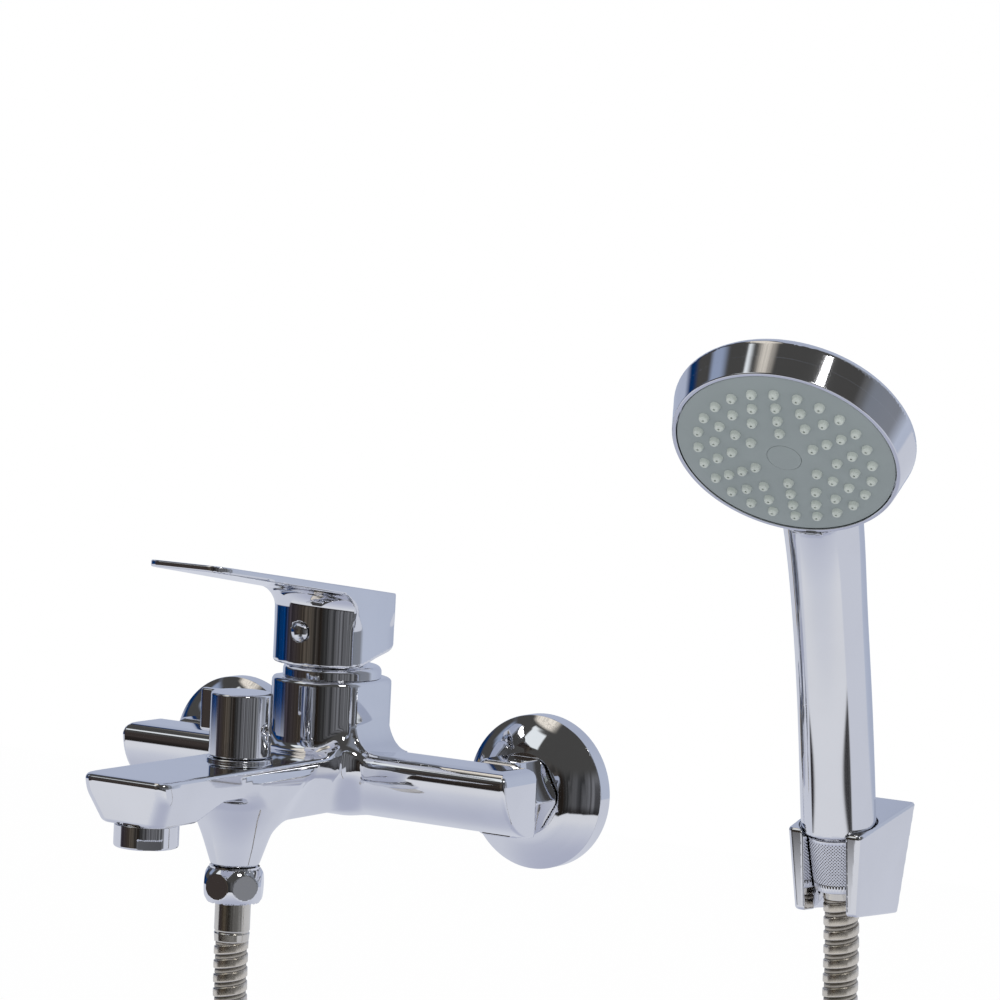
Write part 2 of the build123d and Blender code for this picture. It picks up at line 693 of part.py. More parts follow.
with BuildPart() as aerator_insert:
    insert_low = aerator_low + 1
    turn(spout_end, *ring_outline(0, aerator_bore_r - 0.05, insert_low, insert_low + aerator_insert_height))
    cell_pitch = aerator_cell + aerator_web
    cells = int(2 * aerator_bore_r / cell_pitch)
    with BuildSketch(spout_end.offset(insert_low)):
        with GridLocations(cell_pitch, cell_pitch, cells, cells):
            Rectangle(aerator_cell, aerator_cell)
        Circle(aerator_bore_r - 1.2, mode=Mode.INTERSECT)
    extrude(amount=aerator_insert_height, mode=Mode.SUBTRACT)
save(aerator_insert, "aerator_insert")

with BuildPart() as aerator_washer:
    turn(spout_end, *ring_outline(aerator_bore_r - 1.5, aerator_thread_r, thread_high, thread_high + washer_thickness))
save(aerator_washer, "aerator_washer")

# Shower outlet fittings on the mixer
nut_top = cone_bottom - hose_nut_gap
nipple_end = cone_bottom - nipple_length
hose_nut_end = nut_top - hose_nut_height
with BuildPart() as outlet_nipple:
    turn(outlet, *ring_outline(0, nipple_shank_r, cone_bottom, cone_bottom + nipple_shank))
    turn(outlet, *ring_outline(0, hose_thread_r - thread_gap, nipple_end, cone_bottom))
    bore(outlet, nipple_bore_r, nipple_end, cone_bottom + nipple_shank)
save(outlet_nipple, "outlet_nipple")

with BuildPart() as outlet_hose_washer:
    turn(outlet, *ring_outline(nipple_bore_r, hose_thread_r - 0.5, nipple_end - washer_thickness, nipple_end))
save(outlet_hose_washer, "outlet_hose_washer")

flange_face = nipple_end - washer_thickness
with BuildPart() as outlet_ferrule:
    turn(outlet, (ferrule_bore_r, flange_face), (ferrule_flange_r, flange_face),
         (ferrule_flange_r, flange_face - ferrule_flange), (ferrule_r, flange_face - ferrule_flange),
         (ferrule_r, flange_face - ferrule_length), (ferrule_bore_r, flange_face - ferrule_length))
save(outlet_ferrule, "outlet_ferrule")

with BuildPart() as hose_nut:
    with BuildSketch(outlet.offset(hose_nut_end)):
        RegularPolygon(hose_nut_flats / 2, 6, major_radius=False)
    extrude(amount=hose_nut_height)
    turn(outlet, (0, hose_nut_end), (hose_nut_turned_r - 0.8, hose_nut_end), (hose_nut_turned_r, hose_nut_end + 2),
         (hose_nut_turned_r, nut_top - 2), (hose_nut_turned_r - 0.8, nut_top), (0, nut_top), mode=Mode.INTERSECT)
    bore(outlet, hose_thread_r, flange_face - ferrule_flange, nut_top)
    bore(outlet, ferrule_r + 0.1, hose_nut_end, flange_face - ferrule_flange)
save(hose_nut, "hose_nut")


# Hose: one path for each leg, a coil of the length between them
hose_r = hose_d / 2
coil_entry = 28.0


def coil_point(turns):
    """A point on the coil after a number of turns from its left-hand start, seen from the front."""
    angle = pi + 2 * pi * turns
    return Vector(coil_x + coil_mean_r * cos(angle), coil_front_y + coil_pitch * turns, coil_z + coil_mean_r * sin(angle))


def coil_heading(turns):
    """The coil's direction there."""
    angle = pi + 2 * pi * turns
    return Vector(-sin(angle), coil_pitch / (2 * pi * coil_mean_r), cos(angle)).normalized()


mixer_route = ((0, -outlet_reach, flange_face - ferrule_length), (0, -105.5, -106), (9.8, -99.3, -138),
               (33.7, -84.2, -171.7), coil_point(0) - coil_heading(0) * coil_entry, coil_point(0))
handset_ferrule_face = seat.from_local_coords(Vector(0, 0, -handset_ferrule_end))
handset_exit = seat.from_local_coords(Vector(0, 0, -handset_ferrule_end - handset_exit_run))
handset_route = (handset_ferrule_face, handset_exit, (222.5, -19, -103), (210.3, -25.2, -140.6),
                 (190.8, -35.2, -166.6), coil_point(coil_turns) + coil_heading(coil_turns) * coil_entry,
                 coil_point(coil_turns))


def route_wire(label, route):
    """The route's straight runs, joined by the largest arcs that they allow."""
    points = [Vector(*point) for point in route]
    runs = [after - before for before, after in zip(points, points[1:])]
    radii = []
    for before, after in zip(runs, runs[1:]):
        half_turn = radians(before.get_angle(after)) / 2
        radii.append(0.45 * min(before.length, after.length) / tan(half_turn))
    with BuildLine(mode=Mode.PRIVATE) as path:
        FilletPolyline(*points, radius=radii)
    wire = path.wires()[0]
    print(f"{label}: length {wire.length:.1f}, radii", *[f"{radius:.0f}" for radius in radii])
    return wire


def across(wire, distance):
    """The plane square to the wire at a distance along it, with a steady X axis."""
    share = distance / wire.length
    return Plane(wire.position_at(share), x_dir=(1, 0, 0), z_dir=wire.tangent_at(share))


def hose_leg(label, route, rib_count):
    """A leg of hose: ribs from its start, then plain tube, with the bore right through."""
    wire = route_wire(label, route)
    sections = []
    for rib in range(rib_count):
        for share, depth in ((0.0, rib_depth), (0.18, rib_depth), (0.4, 0.0), (0.78, 0.0)):
            with BuildSketch(across(wire, (rib + share) * rib_pitch), mode=Mode.PRIVATE) as ring:
                Circle(hose_r - depth)
            sections.append(ring.sketch.face())
    ribbed_length = rib_count * rib_pitch
    with BuildSketch(across(wire, ribbed_length), mode=Mode.PRIVATE) as ring:
        Circle(hose_r - rib_depth)
    sections.append(ring.sketch.face())
    loft(sections, ruled=True)
    with BuildSketch(across(wire, ribbed_length), mode=Mode.PRIVATE) as plain:
        Circle(hose_r)
    sweep(plain.sketch, path=wire.trim(ribbed_length / wire.length, 1))
    with BuildSketch(across(wire, 0), mode=Mode.PRIVATE) as opening:
        Circle(hose_bore_r)
    sweep(opening.sketch, path=wire, mode=Mode.SUBTRACT)
    return wire


with BuildPart() as hose_mixer_run:
    mixer_wire = hose_leg("hose below the mixer", mixer_route, mixer_rib_count)
save(hose_mixer_run, "hose_mixer_run")

with BuildPart() as hose_handset_run:
    handset_wire = hose_leg("hose below the handset", handset_route, handset_rib_count)
save(hose_handset_run, "hose_handset_run")

with BuildPart() as hose_coil:
    with BuildLine() as coil_path:
        for quarter in range(int(4 * coil_turns)):
            first, last = coil_point(quarter / 4), coil_point((quarter + 1) / 4)
            leaving, arriving = coil_heading(quarter / 4), coil_heading((quarter + 1) / 4)
            chord = last - first
            turned = 2 * (leaving.dot(arriving) - 1)
            slack = -2 * chord.dot(leaving + arriving)
            reach = (-slack - sqrt(slack ** 2 - 4 * turned * chord.dot(chord))) / (2 * turned)
            if reach < 0:
                reach = (-slack + sqrt(slack ** 2 - 4 * turned * chord.dot(chord))) / (2 * turned)
            before, after = first + leaving * reach, last - arriving * reach
            joint = (before + after) / 2
            TangentArc(first, joint, tangent=leaving)
            TangentArc(joint, last, tangent=after - before)
    with BuildSketch(Plane(coil_point(0), x_dir=(1, 0, 0), z_dir=coil_heading(0))):
        Circle(hose_r)
        Circle(hose_bore_r, mode=Mode.SUBTRACT)
    sweep()
save(hose_coil, "hose_coil")
coil_wire = coil_path.wires()[0]

# Length and least gap of the whole hose
track = []
for wire, backwards in ((mixer_wire, False), (coil_wire, False), (handset_wire, True)):
    steps = int(wire.length / 5)
    shares = [step / steps for step in range(steps + 1)]
    track += [wire.position_at(share) for share in (reversed(shares) if backwards else shares)]
apart = min((one - other).length for place, one in enumerate(track) for other in track[place + 12:])
hose_total = mixer_wire.length + coil_wire.length + handset_wire.length + 2 * ferrule_length
print(f"hose: coil {coil_wire.length:.1f}, whole length {hose_total:.0f}, least gap to itself {apart - hose_d:.2f}")

with BuildPart() as hose_ties:
    for turns in (0.25, 0.75):
        passes = [turns + whole for whole in range(int(coil_turns - turns) + 1)]
        near, far = coil_point(passes[0]), coil_point(passes[-1])
        inner_r = hose_r + tie_gap
        with BuildSketch(Plane(((near + far) / 2) - Vector(tie_width / 2, 0, 0), x_dir=(0, 1, 0), z_dir=(1, 0, 0))):
            SlotCenterToCenter(far.Y - near.Y, 2 * (inner_r + tie_thickness))
            SlotCenterToCenter(far.Y - near.Y, 2 * inner_r, mode=Mode.SUBTRACT)
        extrude(amount=tie_width)
save(hose_ties, "hose_ties")

# Hose end at the handset
spigot_end = -handset_spigot
handset_flange = spigot_end - washer_thickness
with BuildPart() as handset_washer:
    turn(handset, *ring_outline(nipple_bore_r, hose_thread_r - 0.5, handset_flange, spigot_end))
save(handset_washer, "handset_washer")

with BuildPart() as handset_ferrule:
    turn(handset, (ferrule_bore_r, handset_flange), (ferrule_flange_r, handset_flange),
         (ferrule_flange_r, handset_flange - ferrule_flange), (ferrule_r, handset_flange - ferrule_flange),
         (ferrule_r, -handset_ferrule_end), (ferrule_bore_r, -handset_ferrule_end))
save(handset_ferrule, "handset_ferrule")

cone_end = -(cone_nut_gap + cone_nut_length)
with BuildPart() as cone_nut:
    turn(handset, (0, cone_end), (cone_nut_bottom_r, cone_end, 0.6), (cone_nut_top_r, -cone_nut_gap, 0.4), (0, -cone_nut_gap))
    bore(handset, hose_thread_r, handset_flange - ferrule_flange, 0)
    bore(handset, ferrule_r + 0.1, cone_end, handset_flange - ferrule_flange)
save(cone_nut, "cone_nut")


# Handset
def handle_section(place):
    """The plane across the handle at one of its stations."""
    height, forward, radius = handle_stations[place]
    below = handle_stations[max(place - 1, 0)]
    above = handle_stations[min(place + 1, len(handle_stations) - 1)]
    heading = (0, 0, 1) if place == 0 else (0, below[1] - above[1], above[0] - below[0])
    return within(handset, Plane((0, -forward, height), x_dir=(1, 0, 0), z_dir=heading))


def head_outline(edge, wall, front):
    """Half outline of the head, or of its hollow when a wall is given."""
    with BuildSketch(side_of(head)) as drawing:
        with BuildLine():
            dome = TangentArc((0, head_back_w + wall), (edge[0], edge[1]), tangent=(1, 0))
            Polyline(dome @ 1, *front, (0, front[-1][1]), dome @ 0)
        make_face()
        fillet(drawing.vertices().sort_by_distance(Vector(*edge))[0], head_round_r)
    return drawing.sketch


def side_radius(w):
    """Radius of the head's flared side."""
    share = (w - head_wide_w) / (head_front_w - head_wide_w)
    return head_back_r + share * (head_front_r - head_back_r)


head_turning = Axis(head.origin, head.z_dir)
with BuildPart() as handset_shell:
    for place in range(len(handle_stations)):
        with BuildSketch(handle_section(place)):
            Circle(handle_stations[place][2])
    loft()
    turn(handset, (handle_foot_r - 1.5, -0.5), (handle_foot_r + 1, -0.5), (handle_foot_r + 1, 2), mode=Mode.SUBTRACT)
    revolve(head_outline((head_edge_r, head_edge_w), 0,
                         ((head_back_r, head_wide_w), (side_radius(shell_front_w), shell_front_w))), axis=head_turning)
    turn(head, (0, shell_front_w), (head_back_r + 4, shell_front_w), (head_back_r + 4, 6), (0, 6), mode=Mode.SUBTRACT)
    revolve(head_outline((head_cavity_r, head_edge_w + 1), head_wall, ((head_cavity_r, shell_front_w),)),
            axis=head_turning, mode=Mode.SUBTRACT)
    turn(head, *ring_outline(0, guide_post_r, guide_floor_w, head_back_w + head_wall - 0.5))
    bore(head, face_screw_r + thread_gap, plate_w - face_screw_length - 1, guide_floor_w)
    for place in range(1, len(handle_stations) - 1):
        with BuildSketch(handle_section(place)):
            Circle(handle_stations[place][2] - handle_wall)
    loft(mode=Mode.SUBTRACT)
    turn(handset, *ring_outline(0, hose_thread_r - thread_gap, spigot_end, 0))
    bore(handset, nipple_bore_r, spigot_end, handle_plug)
    bore(handset, handle_bore_r, handle_plug, handle_stations[1][0] + 5)
save(handset_shell, "handset_shell")

with BuildPart() as head_ring:
    seat_w = plate_back_w - ring_seat_thickness
    skirt_r = head_cavity_r - thread_gap
    skirt_inner_r = skirt_r - ring_skirt_wall
    skirt_end = shell_front_w - ring_skirt
    turn(head, (ring_seat_r, seat_w), (skirt_inner_r, seat_w), (skirt_inner_r, skirt_end),
         (skirt_r, skirt_end), (skirt_r, shell_front_w), (side_radius(shell_front_w), shell_front_w),
         (head_front_r, head_front_w), (ring_inner_r, head_front_w), (ring_inner_r, plate_back_w),
         (ring_seat_r, plate_back_w))
save(head_ring, "head_ring")

plate_curve_r = (plate_r ** 2 + plate_dome ** 2) / (2 * plate_dome)


def plate_height(radius):
    """Height of the domed face plate at a distance from its centre."""
    return plate_w + plate_dome - plate_curve_r + sqrt(plate_curve_r ** 2 - radius ** 2)


with BuildPart() as face_plate:
    with BuildSketch(side_of(head)):
        with BuildLine():
            crown = TangentArc((0, plate_w + plate_dome), (plate_r, plate_w), tangent=(1, 0))
            Polyline(crown @ 1, (plate_r, plate_back_w), (0, plate_back_w), crown @ 0)
        make_face()
    revolve(axis=head_turning)
    with BuildSketch(head.offset(plate_back_w)):
        for count, radius in nozzle_rings:
            with PolarLocations(radius, count, nozzle_turn):
                RegularPolygon(nozzle_r + thread_gap, nozzle_side_count)
    extrude(amount=plate_w + plate_dome - plate_back_w + 1, mode=Mode.SUBTRACT)
    bore(head, face_screw_r + thread_gap, plate_back_w, 0)
    cap_seat = plate_height(0) - center_cap_height
    bore(head, face_screw_head_r + thread_gap, cap_seat - face_screw_head, 0)
    bore(head, center_cap_r + thread_gap, cap_seat, 0)
save(face_plate, "face_plate")

with BuildPart() as nozzle_mat:
    turn(head, *ring_outline(guide_post_r, mat_r, plate_back_w - mat_thickness, plate_back_w))
    for count, radius in nozzle_rings:
        with BuildSketch(head.offset(plate_back_w)):
            with PolarLocations(radius, count, nozzle_turn):
                RegularPolygon(nozzle_r, nozzle_side_count)
        extrude(amount=plate_height(radius) + nozzle_height - plate_back_w, taper=nozzle_taper)
save(nozzle_mat, "nozzle_mat")

with BuildPart() as center_cap:
    turn(head, (0, cap_seat), (center_cap_r, cap_seat), (center_cap_r, plate_height(0) + 0.1),
         (0, plate_height(0) + center_cap_height))
save(center_cap, "center_cap")

with BuildPart() as face_screw:
    screw_head_w = cap_seat - face_screw_head
    screw_end_w = screw_head_w - face_screw_length
    turn(head, (0, screw_end_w), (face_screw_r, screw_end_w), (face_screw_r, screw_head_w),
         (face_screw_head_r, screw_head_w), (face_screw_head_r, cap_seat - 0.2), (0, cap_seat - 0.2))
save(face_screw, "face_screw")

with BuildPart() as water_guide:
    mat_back = plate_back_w - mat_thickness
    turn(head, *ring_outline(0, guide_r, guide_floor_w, guide_floor_w + guide_floor))
    turn(head, *ring_outline(guide_r - guide_wall - 1, guide_r - 1, guide_floor_w, mat_back))
    turn(head, *ring_outline(0, guide_post_r, guide_floor_w, mat_back))
    bore(head, face_screw_r + thread_gap, guide_floor_w, mat_back)
    with BuildSketch(head.offset(guide_floor_w)):
        with PolarLocations(guide_port_ring, guide_port_count):
            Circle(guide_port_r)
    extrude(amount=guide_floor, mode=Mode.SUBTRACT)
save(water_guide, "water_guide")

with BuildPart() as head_seal:
    turn(head, *ring_outline(guide_r - 1, head_cavity_r - 0.2, guide_floor_w - 1.5, guide_floor_w))
save(head_seal, "head_seal")


# Wall bracket: a tapered block with a conical seat, open to the front for the hose
def bracket_front(z, bottom, top):
    """A size of the bracket's slanting front at a height, between its bottom and its top."""
    share = (z - bracket_bottom_front_z) / (bracket_top_front_z - bracket_bottom_front_z)
    return bottom + (top - bottom) * share


with BuildPart() as bracket_fork:
    for z, back_half in ((bracket_bottom_back_z, bracket_bottom_back_half), (bracket_top_back_z, bracket_top_back_half)):
        front_half = bracket_front(z, bracket_bottom_front_half, bracket_top_front_half)
        front_y = -bracket_front(z, bracket_bottom_depth, bracket_top_depth)
        with BuildSketch(Plane((seat_x, 0, z))) as section:
            with BuildLine():
                Polyline((-back_half, 1), (back_half, 1), (front_half, front_y), (-front_half, front_y),
                         close=True)
            make_face()
            fillet(section.vertices().group_by(Axis.Y)[0], bracket_edge_r)
    loft(ruled=True)
    extrude(outline(Plane.YZ.offset(seat_x - bracket_top_back_half - 1),
                    (0, bracket_top_back_z), (-bracket_top_depth, bracket_top_front_z),
                    (-bracket_top_depth - 5, bracket_top_front_z - 1),
                    (-bracket_bottom_depth - 5, bracket_bottom_front_z),
                    (-bracket_bottom_depth, bracket_bottom_front_z), (0, bracket_bottom_back_z)),
            amount=2 * bracket_top_back_half + 2, mode=Mode.INTERSECT)
    # Seat of the conical nut, recess of the handle's foot and way in for the hose
    bracket_height = bracket_top_back_z - bracket_bottom_back_z
    seat_bottom_r, seat_top_r = cone_nut_bottom_r + seat_gap, cone_nut_top_r + seat_gap
    turn(seat, (0, -bracket_height - seat_z), (seat_bottom_r, -bracket_height - seat_z), (seat_bottom_r, cone_end),
         (seat_top_r, -cone_nut_gap), (seat_top_r, -seat_gap), (seat_recess_r, -seat_gap),
         (seat_recess_r, bracket_top_back_z + seat_z), (0, bracket_top_back_z + seat_z), mode=Mode.SUBTRACT)
    slot_left, slot_right = seat_x - bracket_slot / 2, seat_x + bracket_slot / 2
    slot_end = -bracket_top_depth - 5
    extrude(outline(Plane.XY.offset(bracket_bottom_back_z - 5), (slot_left, -seat_out), (slot_right, -seat_out),
                    (slot_right, slot_end), (slot_left, slot_end)),
            amount=bracket_height + 10, mode=Mode.SUBTRACT)
    # Pocket behind with a boss for each wall screw
    with BuildSketch(Plane.XZ):
        with Locations((seat_x, bracket_hole_z)):
            Rectangle(2 * bracket_pocket_half, bracket_hole_spacing + 2 * bracket_boss_r + 2)
            with GridLocations(1, bracket_hole_spacing, 1, 2):
                Circle(bracket_boss_r, mode=Mode.SUBTRACT)
    extrude(amount=bracket_pocket_depth, mode=Mode.SUBTRACT)
    for hole_r, depth in ((bracket_hole_r, 0), (bracket_counterbore_r, bracket_screw_wall)):
        with BuildSketch(Plane.XZ.offset(depth)):
            with Locations((seat_x, bracket_hole_z)):
                with GridLocations(1, bracket_hole_spacing, 1, 2):
                    Circle(hole_r)
        extrude(amount=seat_out - depth, mode=Mode.SUBTRACT)
save(bracket_fork, "bracket_fork")
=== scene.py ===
import json
from itertools import product
from math import atan2, ceil, cos, pi, radians, sin, sqrt, tan

import bpy
import numpy as np
from bpy.props import FloatProperty, FloatVectorProperty, IntProperty, PointerProperty
from bpy.types import Operator, Panel, PropertyGroup
from mathutils import Matrix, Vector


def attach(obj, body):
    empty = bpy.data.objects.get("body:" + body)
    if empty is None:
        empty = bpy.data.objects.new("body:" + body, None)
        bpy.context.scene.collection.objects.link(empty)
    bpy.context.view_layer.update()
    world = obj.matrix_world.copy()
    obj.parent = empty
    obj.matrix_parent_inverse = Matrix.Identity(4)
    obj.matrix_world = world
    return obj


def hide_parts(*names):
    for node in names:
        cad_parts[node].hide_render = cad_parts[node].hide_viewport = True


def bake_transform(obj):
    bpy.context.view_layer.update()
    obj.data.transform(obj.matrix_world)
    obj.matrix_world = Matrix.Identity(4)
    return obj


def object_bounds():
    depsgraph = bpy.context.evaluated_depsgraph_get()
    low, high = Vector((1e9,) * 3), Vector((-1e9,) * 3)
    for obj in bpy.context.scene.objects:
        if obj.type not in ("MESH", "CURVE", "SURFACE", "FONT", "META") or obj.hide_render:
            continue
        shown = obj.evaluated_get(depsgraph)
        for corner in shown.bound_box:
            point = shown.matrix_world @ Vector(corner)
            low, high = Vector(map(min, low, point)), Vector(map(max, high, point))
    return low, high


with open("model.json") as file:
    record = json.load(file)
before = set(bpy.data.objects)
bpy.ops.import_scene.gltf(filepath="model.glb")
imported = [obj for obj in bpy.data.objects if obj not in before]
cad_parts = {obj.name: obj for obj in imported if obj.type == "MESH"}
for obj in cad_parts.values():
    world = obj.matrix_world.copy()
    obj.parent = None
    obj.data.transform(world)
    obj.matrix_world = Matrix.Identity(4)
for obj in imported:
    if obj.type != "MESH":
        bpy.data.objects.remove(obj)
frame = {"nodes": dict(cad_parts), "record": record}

bl_info = {
    "name": "Bath Mixer",
    "version": (1, 0, 0),
    "blender": (4, 5, 0),
    "location": "View3D > Sidebar > Bath Mixer",
    "description": "Dresses the packed bath mixer with its visible pieces, finishes, lights and camera",
    "category": "Object",
}

# Everything below is drawn in millimetres and written to the meshes in metres
MM = 0.001
CAD_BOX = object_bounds()


# ---------------------------------------------------------------- frames


def unit(vector):
    vector = np.asarray(vector, float)
    return vector / np.linalg.norm(vector)


def axes(origin, x_dir, z_dir):
    """A local frame as a 4 by 4 matrix."""
    z_axis = unit(z_dir)
    y_axis = unit(np.cross(z_axis, x_dir))
    matrix = np.eye(4)
    matrix[:3, :3] = np.stack([np.cross(y_axis, z_axis), y_axis, z_axis], 1)
    matrix[:3, 3] = origin
    return matrix


def placed(matrix, points):
    """Points of a local frame in the frame around it."""
    return np.asarray(points, float) @ matrix[:3, :3].T + matrix[:3, 3]


# How far the cartridge, the shower outlet, the aerator and the bracket's seat stand out from the wall
TOWER_OUT, OUTLET_OUT, AERATOR_OUT, SEAT_OUT = 45.0, 105.5, 162.3, 28.4
INLET_X, BRACKET_X = 75.0, 222.5
SEAT_TILT, HANDSET_TURN, HEAD_TILT = radians(10.5), radians(9), radians(35.45)

WORLD = np.eye(4)
INLETS = {side: axes((sign * INLET_X, 0, 0), (1, 0, 0), (0, -1, 0))
          for side, sign in (("left", -1), ("right", 1))}
TOWER, OUTLET, SPOUT_END = (axes((0, -out, 0), (1, 0, 0), (0, 0, 1))
                            for out in (TOWER_OUT, OUTLET_OUT, AERATOR_OUT))
SEAT = axes((BRACKET_X, -SEAT_OUT, 5.8), (1, 0, 0), (0, -sin(SEAT_TILT), cos(SEAT_TILT)))
HANDSET = SEAT @ axes((0, 0, 0), (cos(HANDSET_TURN), sin(HANDSET_TURN), 0), (0, 0, 1))
HEAD_LOCAL = axes((0, -48.3, 151.2), (1, 0, 0), (0, -cos(HEAD_TILT), -sin(HEAD_TILT)))
HEAD = HANDSET @ HEAD_LOCAL


# ---------------------------------------------------------------- meshes

FINISHES = {}
# Vertices closer than this many millimetres are joined
WELD = 0.0005


def piece(name, points, faces, slot, body, node, normals=None):
    """A mesh object, from points in millimetres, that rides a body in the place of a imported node."""
    points = np.asarray(points, float)
    keys = np.round(points / WELD).astype(np.int64)
    _, first, number = np.unique(keys, axis=0, return_index=True, return_inverse=True)
    number = number.reshape(-1)
    kept = []
    for face in number[np.asarray(faces)]:
        face = [int(v) for place, v in enumerate(face) if v != face[place - 1]]
        if len(face) > 2:
            kept.append(face)
    mesh = bpy.data.meshes.new(name)
    mesh.from_pydata((points[first] * MM).tolist(), [], kept)
    mesh.shade_smooth()
    if normals is not None:
        mesh.normals_split_custom_set_from_vertices(np.asarray(normals)[first].tolist())
    mesh.materials.append(FINISHES[slot])
    thing = bpy.data.objects.new(name, mesh)
    bpy.context.scene.collection.objects.link(thing)
    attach(thing, body)
    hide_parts(node)


def grid_faces(rows, columns):
    """Quads between the rows of a grid whose columns close on themselves."""
    row, column = np.meshgrid(np.arange(rows - 1), np.arange(columns), indexing="ij")
    after = (column + 1) % columns
    quads = np.stack([row * columns + column, row * columns + after,
                      (row + 1) * columns + after, (row + 1) * columns + column], -1)
    return quads.reshape(-1, 4)


def rounded(corners, closed=True, edge=0.25):
    """Points and outward normals of a counter-clockwise outline.

    A corner's third value is its radius.
    """
    count = len(corners)
    spots = [np.array(corner[:2], float) for corner in corners]
    points, normals = [], []
    for place, corner in enumerate(corners):
        spot = spots[place]
        if not closed and place in (0, count - 1):
            along = unit(spots[1] - spot) if place == 0 else unit(spot - spots[-2])
            points.append(spot)
            normals.append((along[1], -along[0]))
            continue
        before, after = spots[place - 1], spots[(place + 1) % count]
        into, out = unit(spot - before), unit(after - spot)
        bend = atan2(into[0] * out[1] - into[1] * out[0], into @ out)
        outward = np.array((into[1], -into[0]))
        if abs(bend) < 0.02:
            points.append(spot)
            normals.append(outward)
            continue
        radius = corner[2] if len(corner) > 2 else edge
        sides = np.linalg.norm(spot - before), np.linalg.norm(after - spot)
        cut = min(radius * tan(abs(bend) / 2), 0.49 * sides[0], 0.49 * sides[1])
        radius = cut / tan(abs(bend) / 2)
        side = 1 if bend > 0 else -1
        centre = spot - into * cut - side * radius * outward
        steps = max(3, ceil(abs(bend) / radians(12)))
        for step in range(steps + 1):
            angle = bend * step / steps
            turned = np.array((outward[0] * cos(angle) - outward[1] * sin(angle),
                               outward[0] * sin(angle) + outward[1] * cos(angle)))
            points.append(centre + side * radius * turned)
            normals.append(turned)
    if closed:
        points.append(points[0])
        normals.append(normals[0])
    return np.array(points), np.array(normals)


def turned_grid(matrix, outline, outline_normals, columns):
    """Points and normals of an outline of (radius, height) turned about a frame's z axis."""
    angle = 2 * pi * np.arange(columns) / columns
    around = np.stack([np.cos(angle), np.sin(angle)], 1)

    def swept(pairs):
        across, along = pairs[:, :1, None], pairs[:, 1:, None]
        along = np.broadcast_to(along, (len(pairs), columns, 1))
        return np.concatenate([across * around[None], along], 2).reshape(-1, 3)

    return placed(matrix, swept(outline)), swept(outline_normals) @ matrix[:3, :3].T


def lathe(name, matrix, corners, slot, body, node, closed=True, columns=128, edge=0.25):
    """A turned piece with rounded corners."""
    outline, outline_normals = rounded(corners, closed, edge)
    points, normals = turned_grid(matrix, outline, outline_normals, columns)
    piece(name, points, grid_faces(len(outline), columns), slot, body, node, normals)


# ---------------------------------------------------------------- distance fields


def meet(one, other, radius, turn=90):
    """The solid inside both, with its edge rounded; turn is the angle between their normals."""
    return -join(-one, -other, radius, turn)


def join(one, other, radius, turn=90):
    """Both solids, with the corner between them filled to a radius."""
    if turn == 90:
        return (np.maximum(radius, np.minimum(one, other))
                - np.hypot(np.maximum(radius - one, 0), np.maximum(radius - other, 0)))
    reach = 4 * radius * (1 - cos(radians(turn / 2)))
    share = np.maximum(reach - np.abs(one - other), 0) / reach
    return np.minimum(one, other) - share ** 2 * reach / 4


def ease(value, low, high):
    """Smooth step from 0 at low to 1 at high."""
    share = np.clip((value - low) / (high - low), 0, 1)
    return share * share * (3 - 2 * share)


def natural_spline(knots, values):
    """A natural cubic spline: a function that gives the value and slope."""
    knots, values = np.asarray(knots, float), np.asarray(values, float)
    gaps = np.diff(knots)
    count = len(knots)
    system, right = np.eye(count), np.zeros(count)
    for k in range(1, count - 1):
        system[k, k - 1:k + 2] = gaps[k - 1], 2 * (gaps[k - 1] + gaps[k]), gaps[k]
        right[k] = 6 * ((values[k + 1] - values[k]) / gaps[k]
                        - (values[k] - values[k - 1]) / gaps[k - 1])
    bends = np.linalg.solve(system, right)

    def curve(at):
        at = np.clip(at, knots[0], knots[-1])
        k = np.clip(np.searchsorted(knots, at) - 1, 0, count - 2)
        gap, left, past = gaps[k], knots[k + 1] - at, at - knots[k]
        value = (bends[k] * left ** 3 + bends[k + 1] * past ** 3) / (6 * gap)
        value += ((values[k] / gap - bends[k] * gap / 6) * left
                  + (values[k + 1] / gap - bends[k + 1] * gap / 6) * past)
        slope = (bends[k + 1] * past ** 2 - bends[k] * left ** 2) / (2 * gap)
        slope += (values[k + 1] - values[k]) / gap - (bends[k + 1] - bends[k]) * gap / 6
        return value, slope

    return curve


def slope_of(field, points, reach=0.01):
    """The field's gradient by central differences."""
    parts = []
    for axis in range(3):
        step = np.zeros(3)
        step[axis] = reach
        parts.append((field(points + step) - field(points - step)) / (2 * reach))
    return np.stack(parts, 1)


